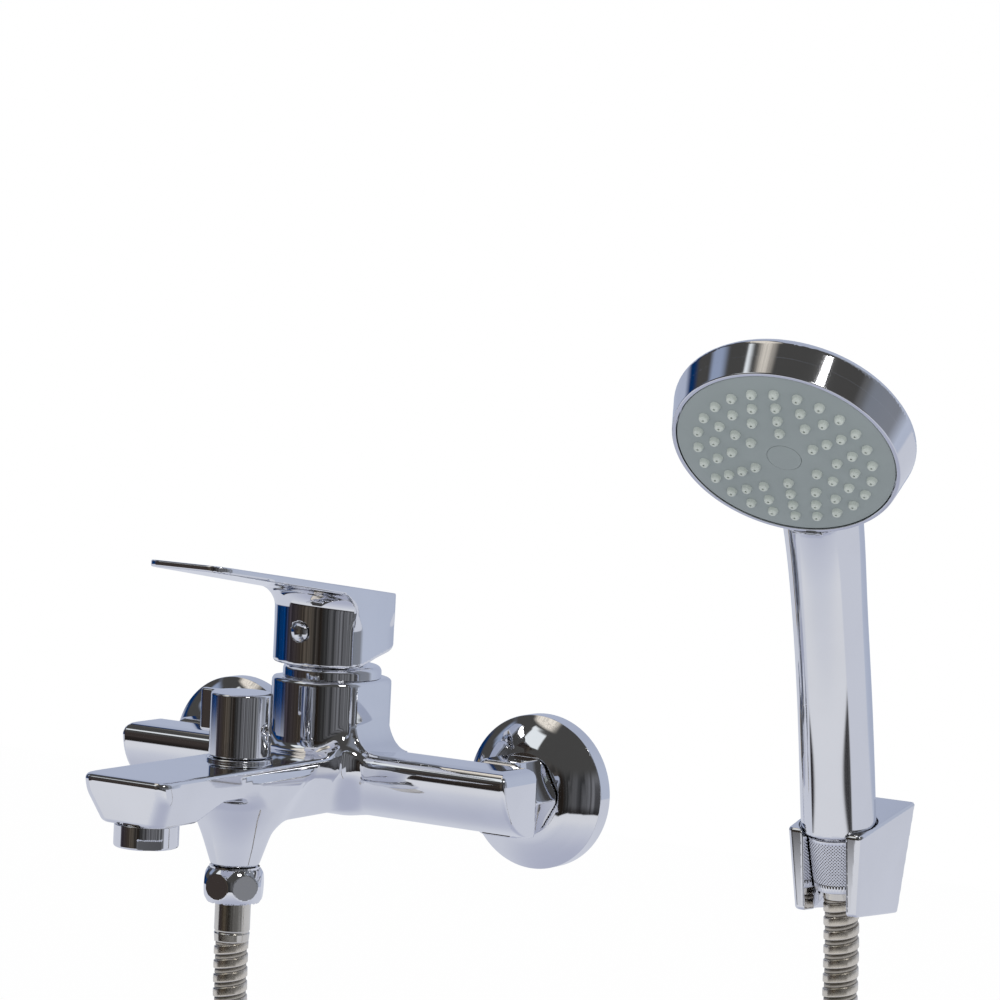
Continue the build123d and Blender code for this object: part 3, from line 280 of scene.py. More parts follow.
def skin(field, low, high, step, warp=None):
    """A quad mesh on the field's zero surface, with its exact normals."""
    low, high = np.asarray(low, float), np.asarray(high, float)
    shape = np.ceil((high - low) / step).astype(int) + 1
    lines = [low[axis] + step * np.arange(shape[axis]) for axis in range(3)]
    warp = warp or (lambda points: points)
    values = np.empty(shape)
    for place, x in enumerate(lines[0]):
        y, z = np.meshgrid(lines[1], lines[2], indexing="ij")
        slab = np.stack([np.full(y.size, x), y.ravel(), z.ravel()], 1)
        values[place] = field(warp(slab)).reshape(y.shape)
    values[values == 0] = 1e-9
    inside = values < 0
    corners = np.array(list(product((0, 1), repeat=3)))
    cells = shape - 1
    total = sum(inside[i:i + cells[0], j:j + cells[1], k:k + cells[2]].astype(np.int8)
                for i, j, k in corners)
    crossed = (total > 0) & (total < 8)
    number = np.full(cells, -1)
    number[crossed] = np.arange(crossed.sum())
    home = np.argwhere(crossed)
    sums, hits = np.zeros((len(home), 3)), np.zeros(len(home))
    for start in corners:
        for axis in range(3):
            if start[axis]:
                continue
            end = start.copy()
            end[axis] = 1
            near, far = values[tuple((home + start).T)], values[tuple((home + end).T)]
            cross = (near < 0) != (far < 0)
            share = np.where(cross, near / np.where(cross, near - far, 1), 0)
            spot = start[None] + share[:, None] * (end - start)[None]
            sums += np.where(cross[:, None], spot, 0)
            hits += cross
    points = warp(low + step * (home + sums / hits[:, None]))
    # Newton steps put every point on the surface
    for _ in range(4):
        slope = slope_of(field, points)
        size = np.maximum((slope ** 2).sum(1), 0.05)
        move = -field(points)[:, None] * slope / size[:, None]
        length = np.linalg.norm(move, axis=1, keepdims=True)
        points = points + move * np.minimum(1, step / np.maximum(length, 1e-9))
    slope = slope_of(field, points)
    normals = slope / np.maximum(np.linalg.norm(slope, axis=1, keepdims=True), 1e-9)
    # One quad around every grid line between an inner and an outer corner
    faces = []
    for axis in range(3):
        second, third = (axis + 1) % 3, (axis + 2) % 3
        size = shape.copy()
        size[axis] -= 1
        size[second] -= 2
        size[third] -= 2
        first = [slice(0, size[0]), slice(0, size[1]), slice(0, size[2])]
        first[second] = slice(1, 1 + size[second])
        first[third] = slice(1, 1 + size[third])
        shifted = list(first)
        shifted[axis] = slice(1, 1 + size[axis])
        here, there = inside[tuple(first)], inside[tuple(shifted)]
        at = np.argwhere(here != there)
        out = here[tuple(at.T)]
        at[:, second] += 1
        at[:, third] += 1
        ring = []
        for back_second, back_third in ((1, 1), (0, 1), (0, 0), (1, 0)):
            cell = at.copy()
            cell[:, second] -= back_second
            cell[:, third] -= back_third
            ring.append(number[tuple(cell.T)])
        ring = np.stack(ring, 1)
        ring[~out] = ring[~out][:, ::-1]
        faces.append(ring)
    return points, np.concatenate(faces), normals


def skinned(name, matrix, field, low, high, step, slot, body, node, warp=None):
    """A piece on the zero surface of a field that is drawn in a local frame."""
    points, faces, normals = skin(field, low, high, step, warp)
    piece(name, placed(matrix, points), faces, slot, body, node, normals @ matrix[:3, :3].T)


# ---------------------------------------------------------------- shader expressions


class Shade:
    """A shader socket that takes part in Python expressions."""

    def __init__(self, tree, socket):
        self.tree = tree
        self.socket = socket

    def math(self, operation, *others):
        node = self.tree.nodes.new("ShaderNodeMath")
        node.operation = operation
        for place, value in enumerate((self, *others)):
            feed(self.tree, node.inputs[place], value)
        return Shade(self.tree, node.outputs[0])

    def __add__(self, other):
        return self.math("ADD", other)

    __radd__ = __add__

    def __mul__(self, other):
        return self.math("MULTIPLY", other)

    __rmul__ = __mul__

    def __sub__(self, other):
        return self.math("SUBTRACT", other)

    def __rsub__(self, other):
        return (self * -1) + other

    def step(self, low, high, bottom=0.0, top=1.0):
        """Smooth step from bottom at low to top at high."""
        return node_of(self.tree, "ShaderNodeMapRange", {"interpolation_type": "SMOOTHSTEP"},
                       Value=self,
                       **{"From Min": low, "From Max": high, "To Min": bottom, "To Max": top})

    def band(self, low, full, fall, high):
        """1 from full to fall, and 0 below low and above high."""
        return self.step(low, full) * self.step(fall, high, 1, 0)


def feed(tree, socket, value):
    """Link a shade to a socket, or set the socket's own value."""
    if isinstance(value, Shade):
        tree.links.new(value.socket, socket)
    else:
        socket.default_value = value


def node_of(tree, kind, settings=None, output=0, **inputs):
    """A node with its settings made first and its sockets fed; gives one of its outputs."""
    node = tree.nodes.new(kind)
    for name, value in (settings or {}).items():
        if name == "stops":
            ramp = node.color_ramp
            for place, (position, colour) in enumerate(value):
                stop = ramp.elements[place] if place < 2 else ramp.elements.new(position)
                stop.position, stop.color = position, (*colour, 1)
        else:
            setattr(node, name, value)
    for name, value in inputs.items():
        key = int(name[1:]) if name[0] == "_" else name
        feed(tree, node.inputs[key], value)
    return Shade(tree, node.outputs[output])


def mixed(tree, share, one, other):
    """A colour between two colours."""
    one, other = (value if isinstance(value, Shade) else (*value, 1) for value in (one, other))
    return node_of(tree, "ShaderNodeMix", {"data_type": "RGBA"}, 2, _0=share, _6=one, _7=other)


def dimmed(tint, share):
    return tuple(share * part for part in tint)


def material_of(name):
    """A node material without nodes, and its tree."""
    material = bpy.data.materials.new(name)
    material.use_nodes = True
    material.node_tree.nodes.clear()
    return material, material.node_tree


def finish_off(material, tree, **inputs):
    """The material's surface shader, fed and linked to its output."""
    inputs = {name.replace("_", " "): value for name, value in inputs.items()}
    surface(tree, node_of(tree, "ShaderNodeBsdfPrincipled", **inputs))
    return material


def surface(tree, shader, output="ShaderNodeOutputMaterial"):
    """Link a shader to the tree's output."""
    tree.links.new(shader.socket, tree.nodes.new(output).inputs["Surface"])


def noise(tree, scale, detail, stretch=None):
    """Noise over the object's own coordinates, scaled in cycles per metre."""
    place = node_of(tree, "ShaderNodeTexCoord", output=3)
    if stretch:
        place = node_of(tree, "ShaderNodeVectorMath", {"operation": "MULTIPLY"}, _0=place, _1=stretch)
    return node_of(tree, "ShaderNodeTexNoise", Vector=place, Scale=scale, Detail=detail)


def bumped(tree, height, strength, distance):
    return node_of(tree, "ShaderNodeBump", Height=height, Strength=strength, Distance=distance)


def plated(name, tint, roughness, wave, wave_scale):
    """Chrome plate: a faint swell from polishing, and haze that varies a little over it."""
    material, tree = material_of(name)
    haze = noise(tree, 35, 3)
    swell = noise(tree, wave_scale, 2)
    colour = mixed(tree, haze.step(0.35, 0.7), tint, dimmed(tint, 0.965))
    return finish_off(material, tree, Metallic=1.0, Base_Color=colour,
                      Roughness=haze * (0.5 * roughness) + 0.75 * roughness,
                      Normal=bumped(tree, swell, wave, 0.0004))


def moulded(name, tint, roughness, grain=900, depth=0.12, spread=0.06):
    """Moulded plastic, rubber or ceramic with a fine grain and slight mottling."""
    material, tree = material_of(name)
    mottle = noise(tree, 60, 4)
    fine = noise(tree, grain, 2)
    colour = mixed(tree, mottle.step(0.3, 0.7), dimmed(tint, 1 - spread), dimmed(tint, 1 + spread))
    return finish_off(material, tree, Base_Color=colour, Roughness=mottle * 0.1 + (roughness - 0.05),
                      Normal=bumped(tree, fine, depth, 0.0002))


def machined(name, tint, roughness, depth=0.08):
    """Turned or drawn metal with fine tool marks."""
    material, tree = material_of(name)
    marks = noise(tree, 500, 3, (1, 1, 12))
    haze = noise(tree, 50, 3)
    colour = mixed(tree, haze.step(0.3, 0.7), tint, dimmed(tint, 0.88))
    return finish_off(material, tree, Metallic=1.0, Base_Color=colour,
                      Roughness=marks * 0.12 + (roughness - 0.06),
                      Normal=bumped(tree, marks, depth, 0.0002))


def strip_steel(name, tint, groove_shade_tint, roughness):
    """The hose's wound strip: brushed along the strip, with painted shade that darkens its grooves."""
    material, tree = material_of(name)
    depth = node_of(tree, "ShaderNodeAttribute", {"attribute_name": "groove"}, 2)
    scratches = noise(tree, 700, 2, (1, 1, 0.2))
    haze = noise(tree, 60, 2)
    brushed = mixed(tree, haze.step(0.3, 0.7), tint, dimmed(tint, 0.9))
    # Painted shade: the colour darkens towards the groove's dark tint as the groove deepens, and is that
    # tint at its bottom
    groove_shaded = mixed(tree, depth.step(0.2, 0.6) * 0.35, brushed, groove_shade_tint)
    colour = mixed(tree, depth.step(0.72, 0.95), groove_shaded, groove_shade_tint)
    return finish_off(material, tree, Metallic=1.0, Base_Color=colour,
                      Roughness=scratches * 0.1 + (roughness - 0.05) + depth * 0.2,
                      Normal=bumped(tree, scratches, 0.015, 0.0002))


def colour_setting(name, description, default):
    return FloatVectorProperty(name=name, description=description, default=default, subtype="COLOR",
                               size=3, min=0, max=1)


def length_setting(name, description, default, low, high):
    return FloatProperty(name=name, description=description, default=default, min=low, max=high,
                         unit="LENGTH")


class BathMixerFinishes(PropertyGroup):
    """Colours and gloss of the mixer's finishes"""

    chrome: colour_setting("Chrome", "Colour of the chrome plate", (0.84, 0.845, 0.87))
    chrome_roughness: FloatProperty(name="Chrome roughness", description="Haze of the chrome plate",
                                    default=0.045, min=0, max=1)
    steel: colour_setting("Hose steel", "Colour of the hose's wound strip", (0.87, 0.80, 0.68))
    face: colour_setting("Face plate", "Colour of the spray face", (0.33, 0.375, 0.375))
    nozzle: colour_setting("Nozzles", "Colour of the silicone nozzles", (0.62, 0.67, 0.625))


class BathMixerSizes(PropertyGroup):
    """Sizes of the dressed pieces that a user may change"""

    hose_diameter: length_setting("Hose diameter", "Outside diameter of the hose", 0.0135, 0.01, 0.016)
    band_pitch: length_setting("Band pitch", "Distance from one turn of the hose's strip to the next",
                               0.0055, 0.003, 0.01)
    knurl_pitch: length_setting("Knurl pitch", "Distance between the knurl's ridges",
                                0.00125, 0.0008, 0.003)
    knurl_depth: length_setting("Knurl depth", "Depth of the knurl's grooves", 0.00025, 0.0, 0.0006)
    skin_step: length_setting("Skin step", "Cell size of the skinned castings", 0.0011, 0.0005, 0.003)
    turned_columns: IntProperty(name="Turned columns", description="Facets round a turned piece",
                                default=128, min=32, max=256)


# ---------------------------------------------------------------- mixer body and lever

# The housing and the lever's head share one outline: a round front between two flat cheeks
HOUSING_R, CHEEK = 24.2, 20.5
# Height of the arms' flat top, and radius of the bore that holds the cartridge
DECK, CHAMBER_R = 14.4, 18.2
PADDLE_SLOPE, LEVER_PLUG_Z = 0.139, 61.2


def mixer_body_field(p):
    """The casting: arms, cartridge housing, spout, neck and outlet cone."""
    x, u, z = np.abs(p[:, 0]), -p[:, 1], p[:, 2]
    hull = np.hypot(u - 35.92, z - 11.04) - 24.53
    arms = meet(hull, np.maximum(35.5 - u, -13.3 - z), 0.8)
    arms = meet(arms, x - 94.0, 1.5)
    # Spout and neck: slanting front, belly from the aerator's heel to the neck, slanting lower sides
    front = 0.9653 * (u - 179.2) - 0.2609 * (z - 13.3)
    toe = meet(-0.4946 * (u - 150.95) - 0.869 * (z + 5.2), -5.2 - z, 1.5, 30)
    under = join(join(toe, 2.0 - z, 7.0, 30), np.maximum(-11.0 - z, u - OUTLET_OUT), 6.0)
    flank = meet(x - 20.0, 0.9 * (x - 20.0) - 0.436 * (z - 6.0), 8.0, 26)
    wall = meet(flank, front, 5.0)
    spout = np.maximum(meet(wall, under, 1.4), TOWER_OUT - u)
    # One top, a step lower on the spout, that the housing's foot runs into
    top = z - DECK + 1.1 * ease(u, 56, 66)
    around = np.hypot(x, u - TOWER_OUT)
    housing = meet(meet(around - HOUSING_R, x - CHEEK, 2.4), z - 42.0, 2.0)
    top = join(top, housing, 4.5 + 7.5 * ease(x, 9, 20))
    brim = 1.2 + 3.8 * ease(x, 20, 32) + 1.6 * ease(u, 166, 178)
    body = meet(join(arms, spout, 8.0), top, brim)
    # Only the housing's rear half reaches below the arms' middle; its front ends on the neck
    foot = np.minimum(10.0 - z, np.maximum(-8.0 - z, u - 46.0))
    body = np.minimum(body, np.maximum(housing, foot))
    # Flare from the housing's cheeks into the arms, drawn across the cheeks' whole depth
    rear = 32.3 + 3.2 * ease(x, CHEEK, CHEEK + 12.0)
    flare = meet(join(z - DECK, x - CHEEK, 12.0), np.maximum(rear - u, u - 57.9), 1.2)
    body = np.minimum(body, np.maximum(flare, np.maximum(np.maximum(x - 32.6, z - 40.0), 2.0 - z)))
    # Outlet cone, flared upwards and held in by the neck's sides
    radial = np.hypot(x, u - OUTLET_OUT)
    cone = join(0.9474 * (radial - 9.3) - 0.3202 * (z + 28.0),
                0.896 * (radial - 14.2) - 0.4441 * (z + 13.5), 90.0, 8)
    cone = meet(meet(cone, x - 19.5, 4.0, 40), -28.0 - z, 1.2)
    body = join(body, np.maximum(cone, z - 6.0), 6.0)
    # Cartridge chamber, diverter bore, hose thread and aerator recess
    hollows = (np.maximum(around - CHAMBER_R, 8.0 - z),
               np.maximum(radial - 9.5, -9.0 - z),
               np.maximum(radial - 7.05, z + 18.0),
               np.maximum(np.hypot(x, u - AERATOR_OUT) - 11.65, z - 3.3))
    for hollow in hollows:
        body = meet(body, -hollow, 0.15)
    return body


def paddle_top(u):
    """Height of the paddle's flat top."""
    return 76.8 + PADDLE_SLOPE * (u - 34.8)


def lever_underside(u):
    """Height of the lever head's underside: two curves that meet and rise to the rear."""
    lowest, near, far = 47.5, 13.0, 23.2
    back = np.clip(58.0 - u, 0, 60)
    first, second = np.clip(back / near, 0, 1), np.clip((back - near) / far, 0, 1.3)

    def hermite(t, run, low, high, leaving, arriving):
        return ((2 * t ** 3 - 3 * t ** 2 + 1) * low + (t ** 3 - 2 * t ** 2 + t) * run * leaving
                + (3 * t ** 2 - 2 * t ** 3) * high + (t ** 3 - t ** 2) * run * arriving)

    return lowest + np.where(back < near, hermite(first, near, 0, 2.8, 0.03, 0.3),
                             hermite(second, far, 2.8, 11.5, 0.3, 0.8))


def lever_field(p):
    """The lever: a head over the cartridge and a thin paddle that rises to the front."""
    x, u, z = np.abs(p[:, 0]), -p[:, 1], p[:, 2]
    around = np.hypot(x, u - TOWER_OUT)
    top = 0.9905 * (z - paddle_top(u))
    bottom = 0.9885 * (70.454 + 0.15326 * (u - 20.8) - z)
    flank = x - CHEEK + 0.0196 * np.maximum(u - TOWER_OUT, 0)
    core = join(around - HOUSING_R, np.maximum(bottom, TOWER_OUT - u), 7.0)
    lever = meet(core, meet(flank, u - 147.0, 7.0), 0.5 + 1.7 * ease(70 - z, 0, 8))
    lever = meet(lever, top, 0.5)
    lever = meet(lever, lever_underside(u) - z, 1.2)
    lever = meet(lever, -np.maximum(around - 18.3, z - 57.0), 0.3)
    plug = np.maximum(np.hypot(x, z - LEVER_PLUG_Z) - 4.06, 66.7 - u)
    return meet(lever, -plug, 0.3)


class BATHMIXER_OT_body(Operator):
    """Skin the mixer's casting"""

    bl_idname = "bathmixer.body"
    bl_label = "Mixer body"

    def execute(self, context):
        step = context.scene.bath_mixer_sizes.skin_step / MM
        skinned("mixer_casting", WORLD, mixer_body_field, (-97, -184, -31.5), (97, -18, 45.5), step,
                "chromed_brass", "fixed", "mixer_body")
        return {"FINISHED"}


class BATHMIXER_OT_lever(Operator):
    """Skin the lever and turn its plug"""

    bl_idname = "bathmixer.lever"
    bl_label = "Lever"

    def execute(self, context):
        step = 0.8 * context.scene.bath_mixer_sizes.skin_step / MM

        def sheared(points):
            """Lay the grid's rows along the slanting paddle."""
            rise = -PADDLE_SLOPE * (points[:, 1] + TOWER_OUT)
            return points + rise[:, None] * (0, 0, 1)

        skinned("lever_casting", WORLD, lever_field, (-23, -150, 40), (23, -18, 81), step,
                "chromed_zinc", "lever", "lever_handle", sheared)
        lathe("lever_button", axes((0, -TOWER_OUT, LEVER_PLUG_Z), (1, 0, 0), (0, -1, 0)),
              ((0, 21.7), (4.0, 21.7), (4.0, 24.0, 0.4), (3.5, 24.7, 9), (2.6, 25.35, 9),
               (1.3, 25.8, 9), (0, 25.95)),
              "chromed_plastic", "lever", "lever_plug", closed=False, columns=64, edge=0.1)
        return {"FINISHED"}


# ---------------------------------------------------------------- wall connections


def nut_field(flats, low, high, corner_r, chamfer, inner_r, barrel=None):
    """A hexagon nut with turned corners; barrel gives the radii of a rounded outside."""

    def field(p):
        radial, height = np.hypot(p[:, 0], p[:, 1]), p[:, 2]
        one, other, last = (np.abs(p[:, 0] * cos(angle) + p[:, 1] * sin(angle)) - flats / 2
                            for angle in map(radians, (30, 90, 150)))
        solid = meet(meet(one, other, 0.5), last, 0.5)
        if barrel:
            bulge = np.hypot(np.maximum(radial - barrel[1], 0), height - (low + high) / 2) - barrel[0]
            solid = meet(solid, bulge, 0.5, 30)
        tilt = 0.866 * (radial - (corner_r - chamfer))
        solid = meet(solid, tilt - 0.5 * (height - low), 0.25)
        solid = meet(solid, tilt - 0.5 * (high - height), 0.25)
        solid = meet(solid, np.maximum(low - height, height - high), 0.3)
        return meet(solid, inner_r - radial, 0.3)

    return field


class BATHMIXER_OT_wall_connections(Operator):
    """Turn the escutcheons and skin the union nuts"""

    bl_idname = "bathmixer.wall_connections"
    bl_label = "Wall connections"

    def execute(self, context):
        columns = context.scene.bath_mixer_sizes.turned_columns
        dish = ((29.84, 0), (31.04, 0), (31.04, 7.1, 0.7), (28.0, 9.75, 60), (23.6, 12.75, 60),
                (19.6, 14.95, 60), (16.6, 16.0, 0.7), (13.05, 16.0), (13.05, 14.8), (18.0, 12.3),
                (29.84, 5.8))
        nut = nut_field(30.0, 17.0, 34.5, 17.32, 1.2, 13.05)
        for side, matrix in INLETS.items():
            lathe(f"{side}_wall_cover", matrix, dish, "chromed_brass", "fixed", f"{side}_escutcheon",
                  columns=columns)
            skinned(f"{side}_coupling_nut", matrix, nut, (-18.5, -18.5, 15.5), (18.5, 18.5, 36), 0.62,
                    "chromed_brass", "fixed", f"{side}_union_nut")
        return {"FINISHED"}


# ---------------------------------------------------------------- collar, diverter and aerator

KNOB_PLUG_Z = 26.3
# Direction of the spanner flats on the aerator's sleeve
FLATS_TURN = radians(44)


def knob_field(p):
    """The diverter's knob with its finger tab."""
    x, y, z = p.T
    radial = np.hypot(x, y)
    tab = meet(meet(np.abs(y) - 1.7, -19.2 - x, 1.6), x, 0.1)
    tab = meet(tab, 23.0 - z, 1.6)
    knob = meet(join(radial - 12.1, tab, 1.1), z - 40.0, 1.1)
    knob = meet(knob, 15.0 - z, 0.5)
    hollow = np.maximum(radial - 10.1, z - 35.0)
    post = np.maximum(radial - 6.0, 15.0 - z)
    knob = meet(knob, -np.maximum(hollow, -post), 0.2)
    hole = np.maximum(np.hypot(y, z - KNOB_PLUG_Z) - 2.2, 10.9 - x)
    return meet(knob, -hole, 0.15)


def sleeve_field(p):
    """The aerator's sleeve with two flats for a spanner."""
    x, y, height = p.T
    radial = np.hypot(x, y)
    solid = meet(meet(radial - 12.35, -14.2 - height, 0.9), height + 5.25, 0.3)
    solid = join(solid, np.maximum(radial - 11.6, np.maximum(-13.0 - height, height - 1.3)), 0.1)
    across = np.abs(x * sin(FLATS_TURN) - y * cos(FLATS_TURN))
    solid = meet(solid, -np.maximum(11.35 - across, height + 10.2), 0.1)
    solid = meet(solid, -np.maximum(radial - 9.6, -13.2 - height), 0.1)
    return meet(solid, 8.4 - radial, 0.2)


class BATHMIXER_OT_fittings(Operator):
    """Turn the collar, diverter bush, plugs and aerator, and skin the knob"""

    bl_idname = "bathmixer.fittings"
    bl_label = "Collar, diverter and aerator"

    def execute(self, context):
        columns = context.scene.bath_mixer_sizes.turned_columns
        lathe("cartridge_collar", TOWER,
              ((11.8, 37.5), (18.15, 37.5), (18.15, 42.0), (19.85, 42.0), (19.85, 45.5, 3.0),
               (18.4, 47.0, 3.0), (14.0, 47.0, 0.6), (12.9, 50.0, 1.2), (9.5, 50.0), (9.5, 44.2),
               (11.8, 44.2)),
              "chromed_brass", "fixed", "dome_collar", columns=columns)
        lathe("diverter_flange", OUTLET,
              ((3.55, 11.0), (9.45, 11.0), (9.45, 13.3), (13.0, 13.3), (13.0, 14.6, 0.7), (3.55, 14.6)),
              "chromed_brass", "fixed", "diverter_bush", columns=columns, edge=0.15)
        skinned("diverter_grip", OUTLET, knob_field, (-21, -14, 13), (14, 14, 42), 0.6,
                "chromed_zinc", "diverter", "diverter_knob")
        lathe("grip_button", axes((0, -OUTLET_OUT, KNOB_PLUG_Z), (0, 1, 0), (1, 0, 0)),
              ((0, 10.9), (2.15, 10.9), (2.15, 12.0, 0.35), (0, 12.2)),
              "chromed_plastic", "diverter", "knob_plug", closed=False, columns=48, edge=0.08)
        skinned("aerator_sleeve", SPOUT_END, sleeve_field, (-13.5, -13.5, -15.5), (13.5, 13.5, 2.5), 0.5,
                "chromed_brass", "fixed", "aerator_housing")
        return {"FINISHED"}


# ---------------------------------------------------------------- hose and its ends


# The coil stands upright below the mixer; each turn lies nearer to the wall than the one before
COIL_X, COIL_Y, COIL_Z, COIL_ADVANCE = 111, -78, -232, 14.6


def coil_points(per_turn=16, turns=2.5, reach=68.8):
    """Control points of the coil's turns, a little outside the hose's own line."""
    spots = []
    for place in range(1, int(per_turn * turns)):
        share = place / per_turn
        angle = pi + 2 * pi * share
        spots.append((COIL_X + reach * cos(angle), COIL_Y + COIL_ADVANCE * share,
                      COIL_Z + reach * sin(angle)))
    return spots


# The mixer's hose ends where the coil hands over to the run that rises to the handset
COIL_END = (178.5, -41.5, COIL_Z)
MIXER_ROUTE = [(0, -OUTLET_OUT, -57.7), (0, -OUTLET_OUT, -106), (9.8, -99.3, -138),
               (33.7, -84.2, -171.7), (43.0, -78.9, -206.0), *coil_points(), COIL_END]
HANDSET_ROUTE = [(BRACKET_X, -23.59, -20.16), (BRACKET_X, -19.94, -39.8), (BRACKET_X, -19, -103),
                 (210.3, -25.2, -140.6), (190.8, -35.2, -166.6), (178.5, -40.54, -204.0), COIL_END]


def route_line(name, route):
    """Points read from the route's NURBS spline, in millimetres."""
    curve = bpy.data.curves.new(name, "CURVE")
    curve.dimensions = "3D"
    spline = curve.splines.new("NURBS")
    spline.points.add(len(route) - 1)
    for point, spot in zip(spline.points, route):
        point.co = (*[value * MM for value in spot], 1)
    spline.order_u = 3
    spline.use_endpoint_u = True
    spline.resolution_u = 16
    carrier = bpy.data.objects.new(name, curve)
    bpy.context.scene.collection.objects.link(carrier)
    line = bpy.data.meshes.new_from_object(carrier)
    points = np.array([vertex.co for vertex in line.vertices]) / MM
    bpy.data.objects.remove(carrier)
    bpy.data.meshes.remove(line)
    bpy.data.curves.remove(curve)
    return points


# One band of the wound strip: how far along its pitch, and how deep as a share of its deepest groove
BAND = np.array([(0.00, 1.0), (0.03, 0.40), (0.07, 0.08), (0.13, 0.0), (0.34, -0.03), (0.55, 0.0),
                 (0.61, 0.07), (0.65, 0.40), (0.68, 1.0), (0.73, 0.72), (0.82, 0.68), (0.95, 0.70)])
GROOVE_DEPTH, CROWN = 0.75, 0.02


def wound_hose(name, route, diameter, pitch, columns, nodes):
    """A hose of wound strip along a route: proud flat bands with a sunk band between them."""
    line = route_line(name.replace("hose", "route"), route)
    runs = np.linalg.norm(np.diff(line, axis=0), axis=1)
    line = line[np.concatenate([[True], runs > 1e-6])]
    travel = np.concatenate([[0], np.cumsum(np.linalg.norm(np.diff(line, axis=0), axis=1))])
    length = travel[-1]
    fine = np.linspace(0, length, int(length) + 2)
    spots = np.stack([np.interp(fine, travel, line[:, axis]) for axis in range(3)], 1)
    heading = np.gradient(spots, fine, axis=0)
    heading /= np.linalg.norm(heading, axis=1, keepdims=True)
    # The cross-section is carried along without twist
    side = unit(np.cross(heading[0], (0.3, 1, 0.2)))
    sides = [side]
    for ahead in heading[1:]:
        side = unit(side - (side @ ahead) * ahead)
        sides.append(side)
    sides = np.array(sides)
    ups = np.cross(heading, sides)
    bands = int(length / pitch)
    pitch = length / bands
    rows = np.array([(band + share, depth) for band in range(-1, bands + 1) for share, depth in BAND])
    turn = np.arange(columns) / columns
    at = np.clip((rows[:, :1] + turn) * pitch, 0, length)
    depth = np.broadcast_to(rows[:, 1:], at.shape).ravel()
    radius = diameter / 2 - CROWN - GROOVE_DEPTH * depth
    centre, across, upward = (
        np.stack([np.interp(at.ravel(), fine, part[:, axis]) for axis in range(3)], 1)
        for part in (spots, sides, ups))
    angle = np.broadcast_to(2 * pi * turn, at.shape).ravel()[:, None]
    points = centre + radius[:, None] * (across * np.cos(angle) + upward * np.sin(angle))
    # After one turn, a row goes on as the same row of the next band
    row, column = np.meshgrid(np.arange(len(rows) - 1), np.arange(columns), indexing="ij")
    next_row = np.where(column == columns - 1, row + len(BAND), row)
    after = (column + 1) % columns
    quads = np.stack([row * columns + column, next_row * columns + after,
                      (next_row + 1) * columns + after, (row + 1) * columns + column], -1)
    hose = grooved_piece(name, points, quads[next_row + 1 < len(rows)], depth)
    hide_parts(*nodes)
    return hose, spots * MM, length * MM


def grooved_piece(name, points, quads, groove):
    """The hose's mesh object, which carries how deep each point lies in a groove."""
    mesh = bpy.data.meshes.new(name)
    size = np.linalg.norm(points[quads[:, 0]] - points[quads[:, 2]], axis=1)
    other = np.linalg.norm(points[quads[:, 1]] - points[quads[:, 3]], axis=1)
    quads = quads[(size > 0.02) & (other > 0.02)]
    used = np.unique(quads)
    number = np.zeros(len(points), int)
    number[used] = np.arange(len(used))
    mesh.from_pydata((points[used] * MM).tolist(), [], number[quads].tolist())
    mesh.validate()
    mesh.shade_smooth()
    attribute = mesh.attributes.new("groove", "FLOAT", "POINT")
    attribute.data.foreach_set("value", groove[used].astype(np.float32))
    mesh.materials.append(FINISHES["steel_hose"])
    thing = bpy.data.objects.new(name, mesh)
    bpy.context.scene.collection.objects.link(thing)
    return thing


def ferrule(name, matrix, top, body, node):
    """The hose's crimped end sleeve, from its flange down."""
    corners = ((4.0, top), (4.0, top - 19.7), (6.7, top - 19.7, 0.5), (7.0, top - 16.5, 0.4),
               (6.75, top - 16.1, 0.2), (6.75, top - 15.6, 0.2), (7.0, top - 15.2, 0.3),
               (7.0, top - 2.0), (9.2, top - 2.0), (9.2, top))
    lathe(name, matrix, corners, "stainless_steel", body, node, columns=96, edge=0.2)


class BATHMIXER_OT_hose(Operator):
    """Lay the wound hose, its coil with ties, its ferrules and its hexagon nut"""

    bl_idname = "bathmixer.hose"
    bl_label = "Hose"

    def execute(self, context):
        sizes = context.scene.bath_mixer_sizes
        diameter, pitch = sizes.hose_diameter / MM, sizes.band_pitch / MM
        hose, path, length = wound_hose("hose_from_mixer", MIXER_ROUTE, diameter, pitch, 24,
                                        ("hose_mixer_run", "hose_coil"))
        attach(hose, "fixed")
        # The photograph's chrome mirrors no coil
        hose.visible_glossy = frame["nodes"]["hose_ties"].visible_glossy = False
        hose, path, length = wound_hose("hose_from_handset", HANDSET_ROUTE, diameter, pitch, 36,
                                        ("hose_handset_run",))
        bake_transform(hose)
        ferrule("mixer_ferrule", OUTLET, -38.0, "fixed", "outlet_ferrule")
        ferrule("hose_end_ferrule", HANDSET, -6.7, "handset", "handset_ferrule")
        nut = nut_field(22.4, -42.6, -28.3, 13.5, 0.8, 9.9, (11.3, 1.1))
        skinned("hose_coupling_nut", OUTLET, nut, (-13.2, -13.2, -44), (13.2, 13.2, -27), 0.5,
                "chromed_brass", "fixed", "hose_nut")
        return {"FINISHED"}


